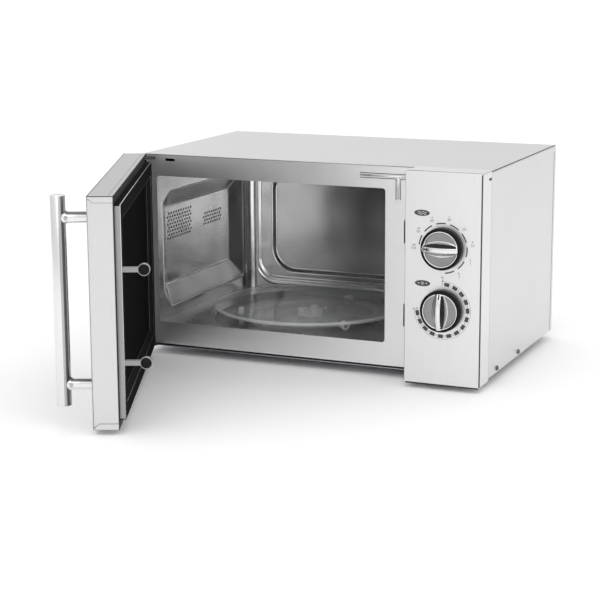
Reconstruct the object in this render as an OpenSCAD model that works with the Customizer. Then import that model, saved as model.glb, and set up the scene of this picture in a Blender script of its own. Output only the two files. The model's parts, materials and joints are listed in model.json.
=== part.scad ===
// Countertop microwave oven with a side-hinged door, two dials and a glass turntable.
// Sizes in millimetres. +X is to the right, +Y to the rear, +Z up, and Z = 0 is the counter.
// The pieces are laid out from the front left corner of the cabinet and then centred.

/* [Cabinet] */
// Width of the cabinet
body_w = 483; // [470:1:600]
// Depth of the cabinet, without the door handle
body_d = 330; // [326:1:420]
// Height of the cover, from the base to its top
cover_h = 259; // [250:1:330]
// Thickness of the sheet steel
sheet = 0.8; // [0.6:0.1:1.2]
// Radius of the cover's long top bends
cover_bend = 3; // [2:0.5:5]
// Radius of the cover's rear top edge
rear_bend = 9; // [4:0.5:12]
// Width of the cover's rear flange
rear_lip = 9; // [8:0.5:12]
// Height of the feet
foot_h = 11; // [8:0.5:20]
// Diameter of a foot at its top
foot_d = 22; // [18:1:30]
// Distance from the sides to the middle of a foot
foot_inset_x = 58; // [40:1:80]
// Distance from the face plate and the rear to the middle of a foot
foot_inset_y = 48; // [30:1:70]

/* [Front] */
// Depth by which the door and the control panel stand ahead of the face plate
front_step = 37; // [34:0.5:45]
// How far the door and the control panel reach below the cover
front_drop = 5; // [2:0.5:7]
// How far the door and the control panel rise above the cover
front_rise = 1.5; // [0:0.5:3]
// Width of the control panel
panel_w = 98; // [90:1:120]
// Radius of the control panel's corners
panel_r = 3; // [1:0.5:6]
// Height of the power dial's centre
power_z = 178; // [172:1:200]
// Height of the timer dial's centre
timer_z = 101; // [90:1:106]
// Diameter of a knob
knob_d = 52; // [44:1:56]
// How far a knob stands out
knob_h = 20; // [16:1:26]
// Diameter of a dial's shaft
dial_shaft_d = 6; // [5:0.5:8]
// Angle that the power knob's pointer has at rest, clockwise from the top
power_rest = -90; // [-90:5:180]

/* [Cavity] */
// Face plate to the left of the opening
left_margin = 22.6; // [18:0.2:40]
// Face plate between the opening and the control panel
latch_margin = 40; // [36:0.5:50]
// Height of the opening's lower edge above the counter
cavity_z = 44.5; // [40:0.5:60]
// Height of the cavity
cavity_h = 197; // [190:1:205]
// Gap between the cavity's back wall and the rear of the cabinet
rear_gap = 12; // [11:0.5:30]
// Radius of the opening's corners
opening_r = 4; // [2:0.5:8]
// Radius of the cavity's upright rear corners
rear_corner_r = 14; // [8:1:24]
// Depth of the pocket pressed into the left wall
pocket_depth = 9.6; // [4:0.2:14]
// Depth of the dish pressed into the floor
dish_depth = 8; // [5:0.5:10]
// Diameter of a vent hole
vent_d = 2.6; // [2:0.1:3]

/* [Turntable] */
// Diameter of the glass tray
tray_d = 270; // [240:1:272]
// Height of the tray's rim above its underside
tray_rise = 7.5; // [6:0.5:12]
// Thickness of the glass
tray_t = 3.5; // [3:0.1:5]
// Diameter of a roller
roller_d = 12; // [11:0.5:16]
// Width of a roller
roller_w = 7; // [5:0.5:10]
// Distance from the middle to a roller's centre
roller_r = 97; // [80:1:104]

/* [Door] */
// Angle to which the door stands open at rest
door_open = 66.8; // [0:0.1:110]
// Distance from the cabinet's left side to the hinge pins
hinge_x = 6; // [5.5:0.5:8]
// Distance from the door's outer face to the hinge pins
hinge_y = 20; // [18:0.5:21]
// Diameter of a hinge pin
hinge_pin_d = 6; // [4:0.5:6]
// Depth of the door's steel bezel
bezel_d = 29.5; // [28:0.5:31]
// Gap between the door and the control panel
door_gap = 2; // [1:0.5:4]
// Width of the door's border around its outer window
window_border = 52; // [45:1:70]
// Distance from the bezel's edge to the choke cover
choke_inset = 10; // [9:0.5:14]
// Width of the choke cover's flat border
choke_border = 17; // [15:0.5:24]
// Width of the choke cover's slope towards the window
choke_slope = 9; // [5:0.5:12]
// Length of the latch hooks past the door's inner face
hook_reach = 31; // [24:1:33]
// Diameter of the handle's bar
handle_d = 17; // [12:0.5:22]
// Diameter of the handle's standoffs
standoff_d = 13.5; // [10:0.5:16]
// Distance from the door's outer face to the bar's middle
handle_off = 36; // [30:1:50]
// Distance from the door's free edge to the bar
handle_inset = 30; // [20:1:50]
// Height of the bar's lower end above the door's lower edge
handle_low = 20.5; // [5:0.5:40]
// Distance of the bar's upper end below the door's upper edge
handle_high = 1.5; // [0:0.5:40]
// Distance from an end of the bar to its standoff
standoff_in = 26; // [18:1:60]

/* [Hidden] */
$fn = 48;

// Clearances: between neighbouring sheets, and around a shaft that turns.
gap = 0.1;
run = 0.05;
over = 1;

// Cabinet
cover_z1 = foot_h + cover_h;
base_top = foot_h + sheet;
front_z0 = foot_h - front_drop;
front_z1 = cover_z1 + front_rise;
panel_x = body_w - panel_w;
face_y1 = front_step + sheet;
face_z0 = foot_h + 3.5;
face_z1 = cover_z1 - sheet - gap;
face_x1 = panel_x + 8;
rear_y = body_d - 2 * sheet - gap;
screw_r = 1.6;
screw_hole_r = screw_r + gap;
head_r = 3.4;
flange_h = 16;
side_screw_z = foot_h + 5.5;
side_screw_y = [front_step + 34, front_step + 128];
rear_screw_x = rear_lip / 2 + 0.4;
rear_screw_zs = [foot_h + 40, cover_z1 - 30];

// Cavity: inner faces
cav_x0 = left_margin;
cav_x1 = panel_x - latch_margin;
cav_y0 = face_y1;
cav_y1 = body_d - rear_gap;
cav_z0 = cavity_z;
cav_z1 = cavity_z + cavity_h;
cav_cx = (cav_x0 + cav_x1) / 2;
cav_cy = (cav_y0 + cav_y1) / 2;
dish_r = tray_d / 2 + 2.5;
dish_z = cav_z0 - dish_depth;
coupler_hole_r = 12;

// Turntable
roller_z = dish_z + roller_d / 2;
tray_z = dish_z + roller_d + gap;
axle_r = 2;
ring_t = 5;
motor_h = 16;
motor_z1 = dish_z - sheet - gap;
shaft_r = 3;

// Component bay, to the right of the cavity
bay_x0 = cav_x1 + sheet;
guide_w = 24;
guide_y0 = cav_y0 + 62;
guide_y1 = guide_y0 + 90;
guide_z0 = cav_z1 - 112;
guide_z1 = cav_z1 - 22;
tube_x0 = bay_x0 + guide_w + gap;
tube_y = (guide_y0 + guide_y1) / 2;
tube_z = guide_z1 - 45;
fan_x = body_w - 62;
fan_z = cav_z1 - 62;
fan_y1 = rear_y - 24;
fan_r = 50;
core_y = body_d - 78;
core_x = body_w - 55;
gland_x = body_w - 40;
gland_z = foot_h + 34;
lamp_y = cav_y0 + 75;
lamp_z = cav_z0 + 55;
shaft_z1 = motor_z1 + 7;

// Control panel
dial_x = panel_x + panel_w / 2;
chassis_y = sheet + gap;
chassis_t = 3;
unit_y = chassis_y + chassis_t + gap;

// Door, laid out closed
door_x0 = 1;
door_x1 = panel_x - door_gap;
inner_y = front_step - 0.5;
choke_x0 = door_x0 + hinge_x;
choke_x1 = door_x1 - 6;
choke_z0 = front_z0 + choke_inset;
choke_z1 = front_z1 - choke_inset;
choke_y0 = bezel_d + gap;
window_inset = choke_border + choke_slope;
latch_x = panel_x - 11.5;
latch_w = 5;
latch_zs = [foot_h + 71, foot_h + 177.5];
slot_h = 29;
lever_y = 17;
lever_w = 9;
spring_wire = 0.4;
spring_turns = 6;
spring_pitch = 2.6;
spring_z0 = latch_zs[1] + 12 + 0.05;
spring_z1 = spring_z0 + 2 * spring_wire + spring_turns * spring_pitch;
hinge_t = 2;
pin_r = hinge_pin_d / 2;
upper_plate_z = cover_z1 - 6;
lower_plate_z = base_top;
ear_t = 2;
bar_x = door_x1 - handle_inset;
bar_z0 = front_z0 + handle_low;
bar_z1 = front_z1 - handle_high;
standoff_zs = [bar_z0 + standoff_in, bar_z1 - standoff_in];

// ---- helpers ----

// From the cabinet's front left corner to the centred frame.
module place() {
  translate([-body_w / 2, -body_d / 2, 0]) children();
}

// The door's pieces are drawn closed and turned about the hinge pins.
module on_door() {
  place() translate([hinge_x, hinge_y, 0]) rotate([0, 0, -door_open])
    translate([-hinge_x, -hinge_y, 0]) children();
}

module box(lo, hi) {
  translate(lo) cube([hi[0] - lo[0], hi[1] - lo[1], hi[2] - lo[2]]);
}

// A flat outline (x, z) given thickness from y0 to y1.
module along_y(y0, y1) {
  translate([0, y1, 0]) rotate([90, 0, 0]) linear_extrude(y1 - y0) children();
}

// A flat outline (y, z) given thickness from x0 to x1.
module along_x(x0, x1) {
  translate([x0, 0, 0]) rotate([90, 0, 90]) linear_extrude(x1 - x0) children();
}

module rod_x(p, r, h) {
  translate(p) rotate([0, 90, 0]) cylinder(r = r, h = h);
}

module rod_y(p, r, h) {
  translate(p) rotate([-90, 0, 0]) cylinder(r = r, h = h);
}

// A rectangle from lo to hi with round corners.
module round_rect(lo, hi, r) {
  translate([lo[0] + r, lo[1]]) square([hi[0] - lo[0] - 2 * r, hi[1] - lo[1]]);
  translate([lo[0], lo[1] + r]) square([hi[0] - lo[0], hi[1] - lo[1] - 2 * r]);
  for (x = [lo[0] + r, hi[0] - r]) {
    for (y = [lo[1] + r, hi[1] - r]) translate([x, y]) circle(r);
  }
}

module rect(lo, hi) {
  translate(lo) square([hi[0] - lo[0], hi[1] - lo[1]]);
}

// A slot with round ends, lying along x.
module slot(length, width) {
  rect([-length / 2 + width / 2, -width / 2], [length / 2 - width / 2, width / 2]);
  for (x = [-1, 1]) translate([x * (length / 2 - width / 2), 0]) circle(width / 2);
}

// A cross-head screw pointing along +Z from its seat.
module screw(shank) {
  difference() {
    translate([0, 0, -2]) cylinder(r1 = head_r - 0.8, r2 = head_r, h = 2);
    for (a = [0, 90]) rotate([0, 0, a]) translate([-2, -0.4, -2.5]) cube([4, 0.8, 1.3]);
  }
  cylinder(r = screw_r, h = shank);
}

// ---- cabinet ----

// The cover's outer form, or its inside when inset by the sheet.
module cover_form(i, y0, y1, z0) {
  r = cover_bend - i;
  intersection() {
    along_y(y0, y1) {
      rect([i, z0], [body_w - i, cover_z1 - i - r]);
      rect([i + r, z0], [body_w - i - r, cover_z1 - i]);
      for (x = [i + r, body_w - i - r]) translate([x, cover_z1 - i - r]) circle(r);
    }
    along_x(-over, body_w + over) {
      rect([y0, z0], [y1, cover_z1 - rear_bend]);
      rect([y0, z0], [y1 - rear_bend + i, cover_z1]);
      translate([y1 - rear_bend + i, cover_z1 - rear_bend]) circle(rear_bend - i);
    }
  }
}

module cover() {
  color("gainsboro") place() difference() {
    cover_form(0, front_step, body_d, foot_h);
    cover_form(sheet, front_step - over, body_d - sheet, foot_h - over);
    along_y(body_d - 2 * sheet, body_d + over)
      rect([rear_lip, foot_h - over], [body_w - rear_lip, cover_z1 - rear_bend - 6]);
    for (y = side_screw_y) rod_x([-over, y, side_screw_z], screw_hole_r, body_w + 2 * over);
    rear_screw_places() rod_y([0, -4, 0], screw_hole_r, 6);
  }
}

module rear_screw_places() {
  for (x = [rear_screw_x, body_w - rear_screw_x]) {
    for (z = rear_screw_zs) translate([x, body_d, z]) children();
  }
}

module rear_panel() {
  lo = [sheet + gap, base_top + gap];
  hi = [body_w - sheet - gap, cover_z1 - rear_bend - 1];
  color("silver") place() difference() {
    along_y(rear_y, rear_y + sheet) rect(lo, hi);
    // fan inlet
    for (i = [-4:4]) {
      half = sqrt(fan_r * fan_r - 100 * i * i);
      along_y(rear_y - over, body_d)
        translate([fan_x, fan_z + 10 * i]) slot(min(2 * half, 92), 5);
    }
    // exhaust louvres
    for (i = [0:6]) {
      along_y(rear_y - over, body_d) translate([75, foot_h + 90 + 12 * i]) slot(70, 4);
    }
    rod_y([gland_x, rear_y - over, gland_z], 8, 5);
    rear_screw_places() rod_y([0, -6, 0], screw_hole_r, 6);
  }
}

module base_plate() {
  x0 = sheet + gap;
  x1 = body_w - sheet - gap;
  y0 = face_y1 + gap;
  y1 = rear_y - gap;
  color("silver") place() difference() {
    union() {
      box([x0, y0, foot_h], [x1, y1, base_top]);
      for (x = [x0, x1 - sheet]) box([x, y0, foot_h], [x + sheet, y1, foot_h + flange_h]);
    }
    for (y = side_screw_y) rod_x([-over, y, side_screw_z], screw_hole_r, body_w + 2 * over);
    foot_places() cylinder(r = screw_hole_r, h = foot_h + over);
    for (i = [0:8]) {
      translate([cav_x1 - 20, core_y - 36 + 9 * i, foot_h - over]) linear_extrude(3) slot(60, 4);
    }
    translate([cav_cx, cav_cy, foot_h - over]) cylinder(r = 27, h = 3);
  }
}

module foot_places() {
  for (x = [foot_inset_x, body_w - foot_inset_x]) {
    for (y = [face_y1 + foot_inset_y, body_d - foot_inset_y]) translate([x, y, 0]) children();
  }
}

module feet() {
  color("dimgray") place() foot_places() difference() {
    cylinder(d1 = foot_d - 4, d2 = foot_d, h = foot_h);
    translate([0, 0, -over]) cylinder(r = head_r + 1, h = foot_h - 4 + over);
    cylinder(r = screw_hole_r, h = foot_h + over);
  }
}

module foot_screws() {
  color("silver") place() foot_places() translate([0, 0, foot_h - 4]) screw(8);
}

module cover_screws() {
  color("silver") place() {
    for (y = side_screw_y) {
      translate([0, y, side_screw_z]) rotate([0, 90, 0]) screw(6);
      translate([body_w, y, side_screw_z]) rotate([0, -90, 0]) screw(6);
    }
    rear_screw_places() rotate([90, 0, 0]) screw(6);
  }
}

// The pressed bead on the face plate: a bar along the top with a short branch down.
module bead_outline(r) {
  z = cav_z1 + 15.5;
  x0 = cav_x1 - 34;
  x1 = panel_x + 4;
  rect([x0, z - r], [x1, z + r]);
  for (x = [x0, x1]) translate([x, z]) circle(r);
  rect([panel_x - 23 - r, z - 30], [panel_x - 23 + r, z]);
  translate([panel_x - 23, z - 30]) circle(r);
}

module latch_slots(grow) {
  for (z = latch_zs) {
    rect([latch_x - 3.5 - grow, z - slot_h / 2 - grow], [latch_x + 4 + grow, z + slot_h / 2 + grow]);
  }
}

module face_plate() {
  x0 = sheet + gap;
  color("silver") place() difference() {
    union() {
      along_y(front_step, face_y1)
        polygon([[x0, face_z0], [face_x1, face_z0], [face_x1, face_z1], [x0 + cover_bend, face_z1],
          [x0, face_z1 - cover_bend]]);
      along_y(front_step, face_y1 + 1.2) bead_outline(3.3);
      box([x0 + cover_bend, front_step, face_z1 - sheet], [face_x1, front_step + 12, face_z1]);
    }
    along_y(front_step - over, front_step + 20)
      round_rect([cav_x0, cav_z0], [cav_x1, cav_z1], opening_r);
    along_y(front_step - over, front_step + 1.2) bead_outline(2.5);
    along_y(front_step - over, front_step + 20) latch_slots(0);
    // slot for the upper hinge's plate, and the locating slot beside it
    along_y(front_step - over, front_step + 5) {
      rect([0, upper_plate_z - 0.5], [21, upper_plate_z + hinge_t + 0.5]);
      round_rect([36, upper_plate_z - 2.5], [50, upper_plate_z + 1], 1.5);
    }
  }
}

// ---- cavity ----

// Outline in (y, z) of the left wall's pocket where it meets the wall.
module pocket_rim(grow) {
  y0 = cav_y0 + 14 - grow;
  y1 = cav_y1 - rear_corner_r - 4 + grow;
  z0 = cav_z0 + 14 - grow;
  z1 = cav_z1 - 25 + grow;
  polygon([[y0 + 20, z0], [y1, z0], [y1, z1], [y0 + 22, z1], [y0, z1 - 13], [y0, z0 + 26]]);
}

// Outline in (y, z) of the pocket's flat bottom.
module pocket_flat(grow) {
  rect([cav_y0 + 38 - grow, cav_z0 + 43 - grow],
    [cav_y1 - rear_corner_r - 35 + grow, cav_z1 - 48 + grow]);
}

module pocket(x_rim, x_flat, grow) {
  thin = 0.05;
  hull() {
    along_x(x_rim - thin, x_rim) pocket_rim(grow);
    along_x(x_flat, x_flat + thin) pocket_flat(grow);
  }
}

// One row of vent holes in (y, z), of n holes.
module vent_row(y0, z0, n, pitch) {
  for (i = [0:n - 1]) translate([y0 + pitch * i, z0]) circle(d = vent_d, $fn = 6);
}

module cavity_left_wall() {
  x = cav_x0;
  y1 = cav_y1 - rear_corner_r;
  row = 4.9;
  vent_y = cav_y0 + 45;
  vent_z = cav_z0 + 104;
  color("lightgray") place() difference() {
    union() {
      box([x - sheet, cav_y0, cav_z0 - sheet], [x, y1, cav_z1 + sheet]);
      pocket(x - sheet, x - sheet - pocket_depth, sheet);
    }
    pocket(x + 0.05, x - pocket_depth, 0);
    along_x(x - pocket_depth - 5, x - pocket_depth + 2) {
      for (k = [0:7]) vent_row(vent_y + (k % 2) * 2, vent_z + row * k, 17, 4);
      for (k = [0:3]) vent_row(vent_y + 108 + (k % 2) * 2, vent_z + 4 + row * k, 14, 4);
    }
  }
}

module cavity_right_wall() {
  x = cav_x1;
  y1 = cav_y1 - rear_corner_r;
  color("lightgray") place() difference() {
    box([x, cav_y0, cav_z0 - sheet], [x + sheet, y1, cav_z1 + sheet]);
    // port that lets the waveguide into the cavity
    along_x(x - over, x + 2) rect([guide_y0 + 10, guide_z0 + 12], [guide_y1 - 10, guide_z1 - 12]);
    // light holes below the waveguide
    along_x(x - over, x + 2) {
      for (k = [0:4]) vent_row(lamp_y - 8, lamp_z - 8 + 4 * k, 5, 4);
    }
  }
}

// Outline of the floor and the ceiling, with the two round rear corners.
module cavity_plan() {
  r = rear_corner_r;
  rect([cav_x0, cav_y0], [cav_x1, cav_y1 - r]);
  rect([cav_x0 + r, cav_y0], [cav_x1 - r, cav_y1]);
  for (x = [cav_x0 + r, cav_x1 - r]) translate([x, cav_y1 - r]) circle(r);
}

module cavity_ceiling() {
  rise = 10;
  color("lightgray") place() difference() {
    union() {
      translate([0, 0, cav_z1]) linear_extrude(sheet) cavity_plan();
      box([cav_cx - 96, cav_cy - 66, cav_z1], [cav_cx + 96, cav_cy + 66, cav_z1 + rise + sheet]);
    }
    box([cav_cx - 95.2, cav_cy - 65.2, cav_z1 - over], [cav_cx + 95.2, cav_cy + 65.2, cav_z1 + rise]);
    for (x = [-40, 40]) translate([cav_cx + x, cav_cy + 55, cav_z1]) cylinder(r = 4.2, h = 20);
  }
}

module cavity_floor() {
  color("lightgray") place() difference() {
    union() {
      translate([0, 0, cav_z0 - sheet]) linear_extrude(sheet) cavity_plan();
      translate([cav_cx, cav_cy, dish_z - sheet])
        cylinder(r1 = dish_r - 5 + sheet, r2 = dish_r + sheet, h = dish_depth + sheet, $fn = 96);
    }
    translate([cav_cx, cav_cy, dish_z])
      cylinder(r1 = dish_r - 5, r2 = dish_r + 0.1, h = dish_depth + 0.1, $fn = 96);
    translate([cav_cx, cav_cy, dish_z - over - sheet]) cylinder(r = coupler_hole_r, h = 5);
  }
}

// The back wall's stepped pressing: each step is inset from the sides and the floor.
module back_step(side, low, r, y0, y1, grow) {
  thin = 0.05;
  lo = [cav_x0 + side - grow, cav_z0 + low - grow];
  hi = [cav_x1 - side + grow, cav_z1 - low + grow];
  hull() {
    along_y(y0, y0 + thin) round_rect(lo, hi, r + grow);
    along_y(y1 - thin, y1) round_rect([lo[0] + 4, lo[1] + 4], [hi[0] - 4, hi[1] - 4], r + grow - 3);
  }
}

module cavity_back() {
  r = rear_corner_r;
  y = cav_y1;
  color("lightgray") place() difference() {
    union() {
      box([cav_x0 + r, y, cav_z0 - sheet], [cav_x1 - r, y + sheet, cav_z1 + sheet]);
      for (s = [0, 1]) {
        translate([s ? cav_x1 - r : cav_x0 + r, y - r, cav_z0 - sheet]) difference() {
          cylinder(r = r + sheet, h = cav_z1 - cav_z0 + 2 * sheet);
          translate([0, 0, -over]) cylinder(r = r, h = cav_z1 - cav_z0 + 4);
          translate([-2 * r, -2 * r, -over]) cube([4 * r, 2 * r, 300]);
          translate([s ? -2 * r : 0, -r, -over]) cube([2 * r, 3 * r, 300]);
        }
      }
      back_step(16, 9, 30, y + sheet, y + 2 + sheet, sheet);
      back_step(37, 20, 36, y + sheet, y + 7 + sheet, sheet);
    }
    back_step(16, 9, 30, y - 0.05, y + 2, 0);
    back_step(37, 20, 36, y + 1.9, y + 7, 0);
  }
}

module waveguide() {
  x1 = bay_x0 + guide_w;
  color("silver") place() difference() {
    union() {
      box([bay_x0, guide_y0, guide_z0], [x1, guide_y1, guide_z1]);
      box([bay_x0, guide_y0 - 8, guide_z0 - 8], [bay_x0 + sheet, guide_y1 + 8, guide_z1 + 8]);
    }
    box([bay_x0 - over, guide_y0 + sheet, guide_z0 + sheet],
      [x1 - sheet, guide_y1 - sheet, guide_z1 - sheet]);
    rod_x([x1 - 2, tube_y, tube_z], 10, 4);
  }
}

module waveguide_cover() {
  color("tan") place() difference() {
    box([cav_x1 - 0.9, guide_y0 + 4, guide_z0 + 6], [cav_x1 - gap, guide_y1 - 4, guide_z1 - 6]);
    for (y = [guide_y0 + 7, guide_y1 - 7]) rod_x([cav_x1 - 2, y, guide_z0 + 10], 1.8, 4);
  }
}

module grill_element() {
  z = cav_z1 + 3;
  y0 = cav_cy - 45;
  span = 150;
  n = 4;
  pitch = 24;
  r = 3.2;
  color("dimgray") place() {
    for (i = [0:n]) rod_x([cav_cx - span / 2, y0 + pitch * i, z], r, span);
    for (i = [0:n - 1]) {
      side = i % 2 == 0 ? 1 : -1;
      translate([cav_cx + side * span / 2, y0 + pitch * (i + 0.5), z]) rotate([0, 0, side * 90])
        rotate([0, 0, 180]) rotate_extrude(angle = 180) translate([pitch / 2, 0]) circle(r);
    }
  }
}

// ---- component bay ----

module magnetron() {
  w = 80;
  d = 84;
  h = 78;
  color("silver") place() difference() {
    // yoke, open at the front and the rear
    box([tube_x0, tube_y - d / 2, tube_z - h / 2], [tube_x0 + w, tube_y + d / 2, tube_z + h / 2]);
    box([tube_x0 + 2, tube_y - d, tube_z - h / 2 + 2],
      [tube_x0 + w - 14, tube_y + d, tube_z + h / 2 - 2]);
    rod_x([tube_x0 - over, tube_y, tube_z], 8, 4);
  }
  // cooling fins around the anode
  color("silver") place() for (i = [0:8]) {
    difference() {
      box([tube_x0 + 10 + 6 * i, tube_y - 36, tube_z - h / 2 + 2],
        [tube_x0 + 11 + 6 * i, tube_y + 36, tube_z + h / 2 - 2]);
      rod_x([tube_x0 + 9 + 6 * i, tube_y, tube_z], 19, 3);
    }
  }
  color("silver") place() rod_x([tube_x0 + 4, tube_y, tube_z], 19, 60);
}

module magnetron_antenna() {
  color("peru") place() rod_x([tube_x0 - 18, tube_y, tube_z], 7.5, 22);
}

module transformer_core() {
  w = 84;
  d = 54;
  h = 70;
  z = base_top;
  color("dimgray") place() translate([core_x - w / 2, core_y - d / 2, z]) difference() {
    union() {
      cube([w, d, h]);
      translate([-8, 0, 0]) cube([w + 16, d, 2]);
    }
    for (x = [14, w / 2 + 14]) translate([x, -over, 14]) cube([w / 2 - 28, d + 2, h - 28]);
  }
}

module transformer_windings() {
  z = base_top;
  leg = 27.8;
  color("peru") place() translate([core_x, core_y, z]) difference() {
    translate([-27.5, -42, 14.5]) cube([55, 84, 41]);
    translate([-leg / 2 - 0.3, -27.2, 0]) cube([leg + 0.6, 54.4, 80]);
  }
}

module capacitor() {
  y = cav_y0 + 60;
  color("lightgray") place() translate([body_w - 66, y, base_top + 3]) {
    along_y(0, 84) slot_up(50, 32);
    for (x = [-9, 9]) translate([x, -5, 17]) cube([6, 5.5, 0.8]);
  }
}

// A slot outline standing on its flat side.
module slot_up(length, width) {
  translate([0, width / 2]) slot(length, width);
}

module capacitor_clamp() {
  y = cav_y0 + 92;
  color("silver") place() translate([body_w - 66, y, base_top]) {
    difference() {
      along_y(0, 16) {
        translate([0, 2]) slot_up(52.2, 34.2);
        rect([-38, 0], [38, 2.2]);
      }
      along_y(-over, 17) translate([0, 2.9]) slot_up(50.4, 32.4);
    }
  }
}

module high_voltage_diode() {
  color("dimgray") place() translate([body_w - 122, cav_y0 + 70, base_top + 8]) {
    rod_y([0, 0, 0], 3.5, 18);
    translate([0, -12, 0]) rod_y([0, 0, 0], 0.6, 12.2);
    translate([0, 17.9, 0]) rod_y([0, 0, 0], 0.6, 12);
  }
}

module air_duct() {
  s = fan_r + 5;
  color("whitesmoke") place() difference() {
    union() {
      box([fan_x - s, fan_y1 - 12, fan_z - s], [fan_x + s, rear_y - gap, fan_z + s]);
      // chute that leads the air on to the tube
      box([fan_x - s, tube_y + 52, fan_z - 44], [fan_x - s + 2, fan_y1 - 12, fan_z + 44]);
      box([fan_x - s, tube_y + 52, fan_z + 42], [fan_x + s, fan_y1 - 12, fan_z + 44]);
    }
    rod_y([fan_x, fan_y1 - 20, fan_z], fan_r + 2, 80);
  }
}

module fan_motor() {
  y = fan_y1 - 50;
  color("dimgray") place() {
    difference() {
      union() {
        box([fan_x - 30, y, fan_z - 22], [fan_x + 30, y + 16, fan_z + 22]);
        rod_y([fan_x, y + 15, fan_z], 8, 11);
      }
      rod_y([fan_x, y + 13, fan_z], 2.5 + run, 16);
    }
    for (x = [-28, 28]) box([fan_x + x - 2, y + 15, fan_z - 3], [fan_x + x + 2, fan_y1 - 12, fan_z + 3]);
  }
}

module fan_blade() {
  hub = 14;
  y = fan_y1 - 8;
  color("whitesmoke") place() translate([fan_x, y, fan_z]) rotate([-90, 0, 0]) {
    difference() {
      cylinder(r = hub, h = 16);
      translate([0, 0, 2]) cylinder(r = 11, h = 20);
    }
    translate([0, 0, -26]) cylinder(r = 2.5, h = 27);
    for (i = [0:6]) rotate([0, 0, i * 360 / 7]) translate([hub - 0.5, 0, 8])
      rotate([32, 0, 0]) translate([0, -11, -0.8]) cube([fan_r - hub - 3, 22, 1.6]);
  }
}

module turntable_motor() {
  color("silver") place() translate([cav_cx, cav_cy, motor_z1 - motor_h]) difference() {
    union() {
      cylinder(r = 25, h = motor_h);
      linear_extrude(1) slot(72, 14);
    }
    translate([0, 0, 4]) cylinder(r = shaft_r + run, h = 20);
  }
}

module drive_shaft() {
  z0 = motor_z1 - motor_h + 4 + gap;
  color("silver") place() translate([cav_cx, cav_cy, z0]) cylinder(r = shaft_r, h = shaft_z1 - z0);
}

module drive_coupler() {
  z0 = dish_z + 0.5;
  z1 = tray_z - gap;
  color("whitesmoke") place() translate([cav_cx, cav_cy, 0]) difference() {
    union() {
      translate([0, 0, motor_z1 + 0.5]) cylinder(r = 8, h = z0 - motor_z1);
      translate([0, 0, z0]) cylinder(r = 15, h = 5.5);
      for (a = [90:120:449]) rotate([0, 0, a])
        translate([7, -4.5, z0 + 1]) cube([11.5, 9, z1 - z0 - 1]);
    }
    cylinder(r = shaft_r, h = shaft_z1);
  }
}

module roller_places() {
  for (a = [80:120:439]) rotate([0, 0, a]) children();
}

module roller_ring() {
  r = roller_r - roller_w / 2 - 1;
  color("whitesmoke") place() translate([cav_cx, cav_cy, roller_z]) {
    rotate_extrude($fn = 96) translate([r - 7, -ring_t / 2]) square([7, ring_t]);
    rotate_extrude($fn = 96) translate([44, -ring_t / 2]) square([5, ring_t]);
    roller_places() {
      translate([48.5, -3, -ring_t / 2]) cube([r - 55, 6, ring_t]);
      rod_x([r - 0.5, 0, 0], axle_r, roller_w + 3.5);
      rod_x([roller_r + roller_w / 2 + 0.5, 0, 0], axle_r + 1, 1);
    }
  }
}

module roller(k) {
  color("whitesmoke") place() translate([cav_cx, cav_cy, roller_z])
    rotate([0, 0, 80 + 120 * k]) difference() {
      rod_x([roller_r - roller_w / 2, 0, 0], roller_d / 2, roller_w);
      rod_x([roller_r - roller_w, 0, 0], axle_r + run, 2 * roller_w);
    }
}

module glass_tray() {
  r = tray_d / 2;
  t = tray_t;
  h = tray_rise;
  color("azure", 0.5) place() translate([cav_cx, cav_cy, tray_z]) {
    rotate_extrude($fn = 128) polygon([[0, 0], [r - 16, 0], [r - 3, h - 2], [r, h - 1.6],
      [r, h], [r - 5, h], [r - 17, t], [0, t]]);
    // drive lugs between the coupler's lobes
    for (a = [30:120:389]) rotate([0, 0, a]) translate([19, 0, -3]) cylinder(r = 3, h = 3.2);
  }
}

// ---- dials ----

module timer_unit() {
  color("whitesmoke") place() difference() {
    union() {
      box([dial_x - 30, unit_y + 4, timer_z - 28], [dial_x + 30, unit_y + 32, timer_z + 28]);
      rod_y([dial_x, unit_y, timer_z], 9, 5);
      rod_y([dial_x + 12, unit_y + 31, timer_z - 8], 14, 8);
    }
    rod_y([dial_x, 0, timer_z], dial_shaft_d / 2 + run, unit_y + 16);
  }
}

module power_selector() {
  color("whitesmoke") place() difference() {
    union() {
      box([dial_x - 22, unit_y + 4, power_z - 22], [dial_x + 22, unit_y + 26, power_z + 22]);
      rod_y([dial_x, unit_y, power_z], 9, 5);
      for (x = [-12, 0, 12]) box([dial_x + x - 3, unit_y + 25, power_z - 15],
        [dial_x + x + 3, unit_y + 33, power_z - 14]);
    }
    rod_y([dial_x, 0, power_z], dial_shaft_d / 2 + run, unit_y + 16);
  }
}

module dial_shaft(z) {
  color("silver") place() rod_y([dial_x, -8, z], dial_shaft_d / 2, unit_y + 22);
}

// A knob at the origin, pointing along -Y with its pointer towards +Z.
module knob() {
  r = knob_d / 2 - 1.5;
  rotate([90, 0, 0]) difference() {
    union() {
      // skirt, ring and sunk face in one turned profile
      rotate_extrude($fn = 96) polygon([[0, 2], [r, 2], [r, 5], [r - 1.5, 9], [r - 1.5, 12],
        [r - 2.5, 13], [r - 4.5, 13], [r - 5, 12.2], [r - 5, 9], [0, 9]]);
      // grip across the middle, pointed at both ends
      intersection() {
        for (s = [-1, 1]) intersection() {
          translate([s * 24, 0, 8.5]) cylinder(r = 33, h = knob_h - 8.5);
          translate([-s * 24, 0, 8.5]) cylinder(r = 33, h = knob_h - 8.5);
        }
        translate([0, 0, 8]) cylinder(r = r - 3, h = knob_h);
      }
    }
    translate([0, 0, 1]) cylinder(r = dial_shaft_d / 2, h = 7);
    // pointer line sunk into the grip
    translate([-0.8, 9, knob_h - 0.6]) cube([1.6, 11, 2]);
  }
}

module power_knob() {
  color("silver") place() translate([dial_x, 0, power_z]) rotate([0, power_rest, 0]) knob();
}

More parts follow.
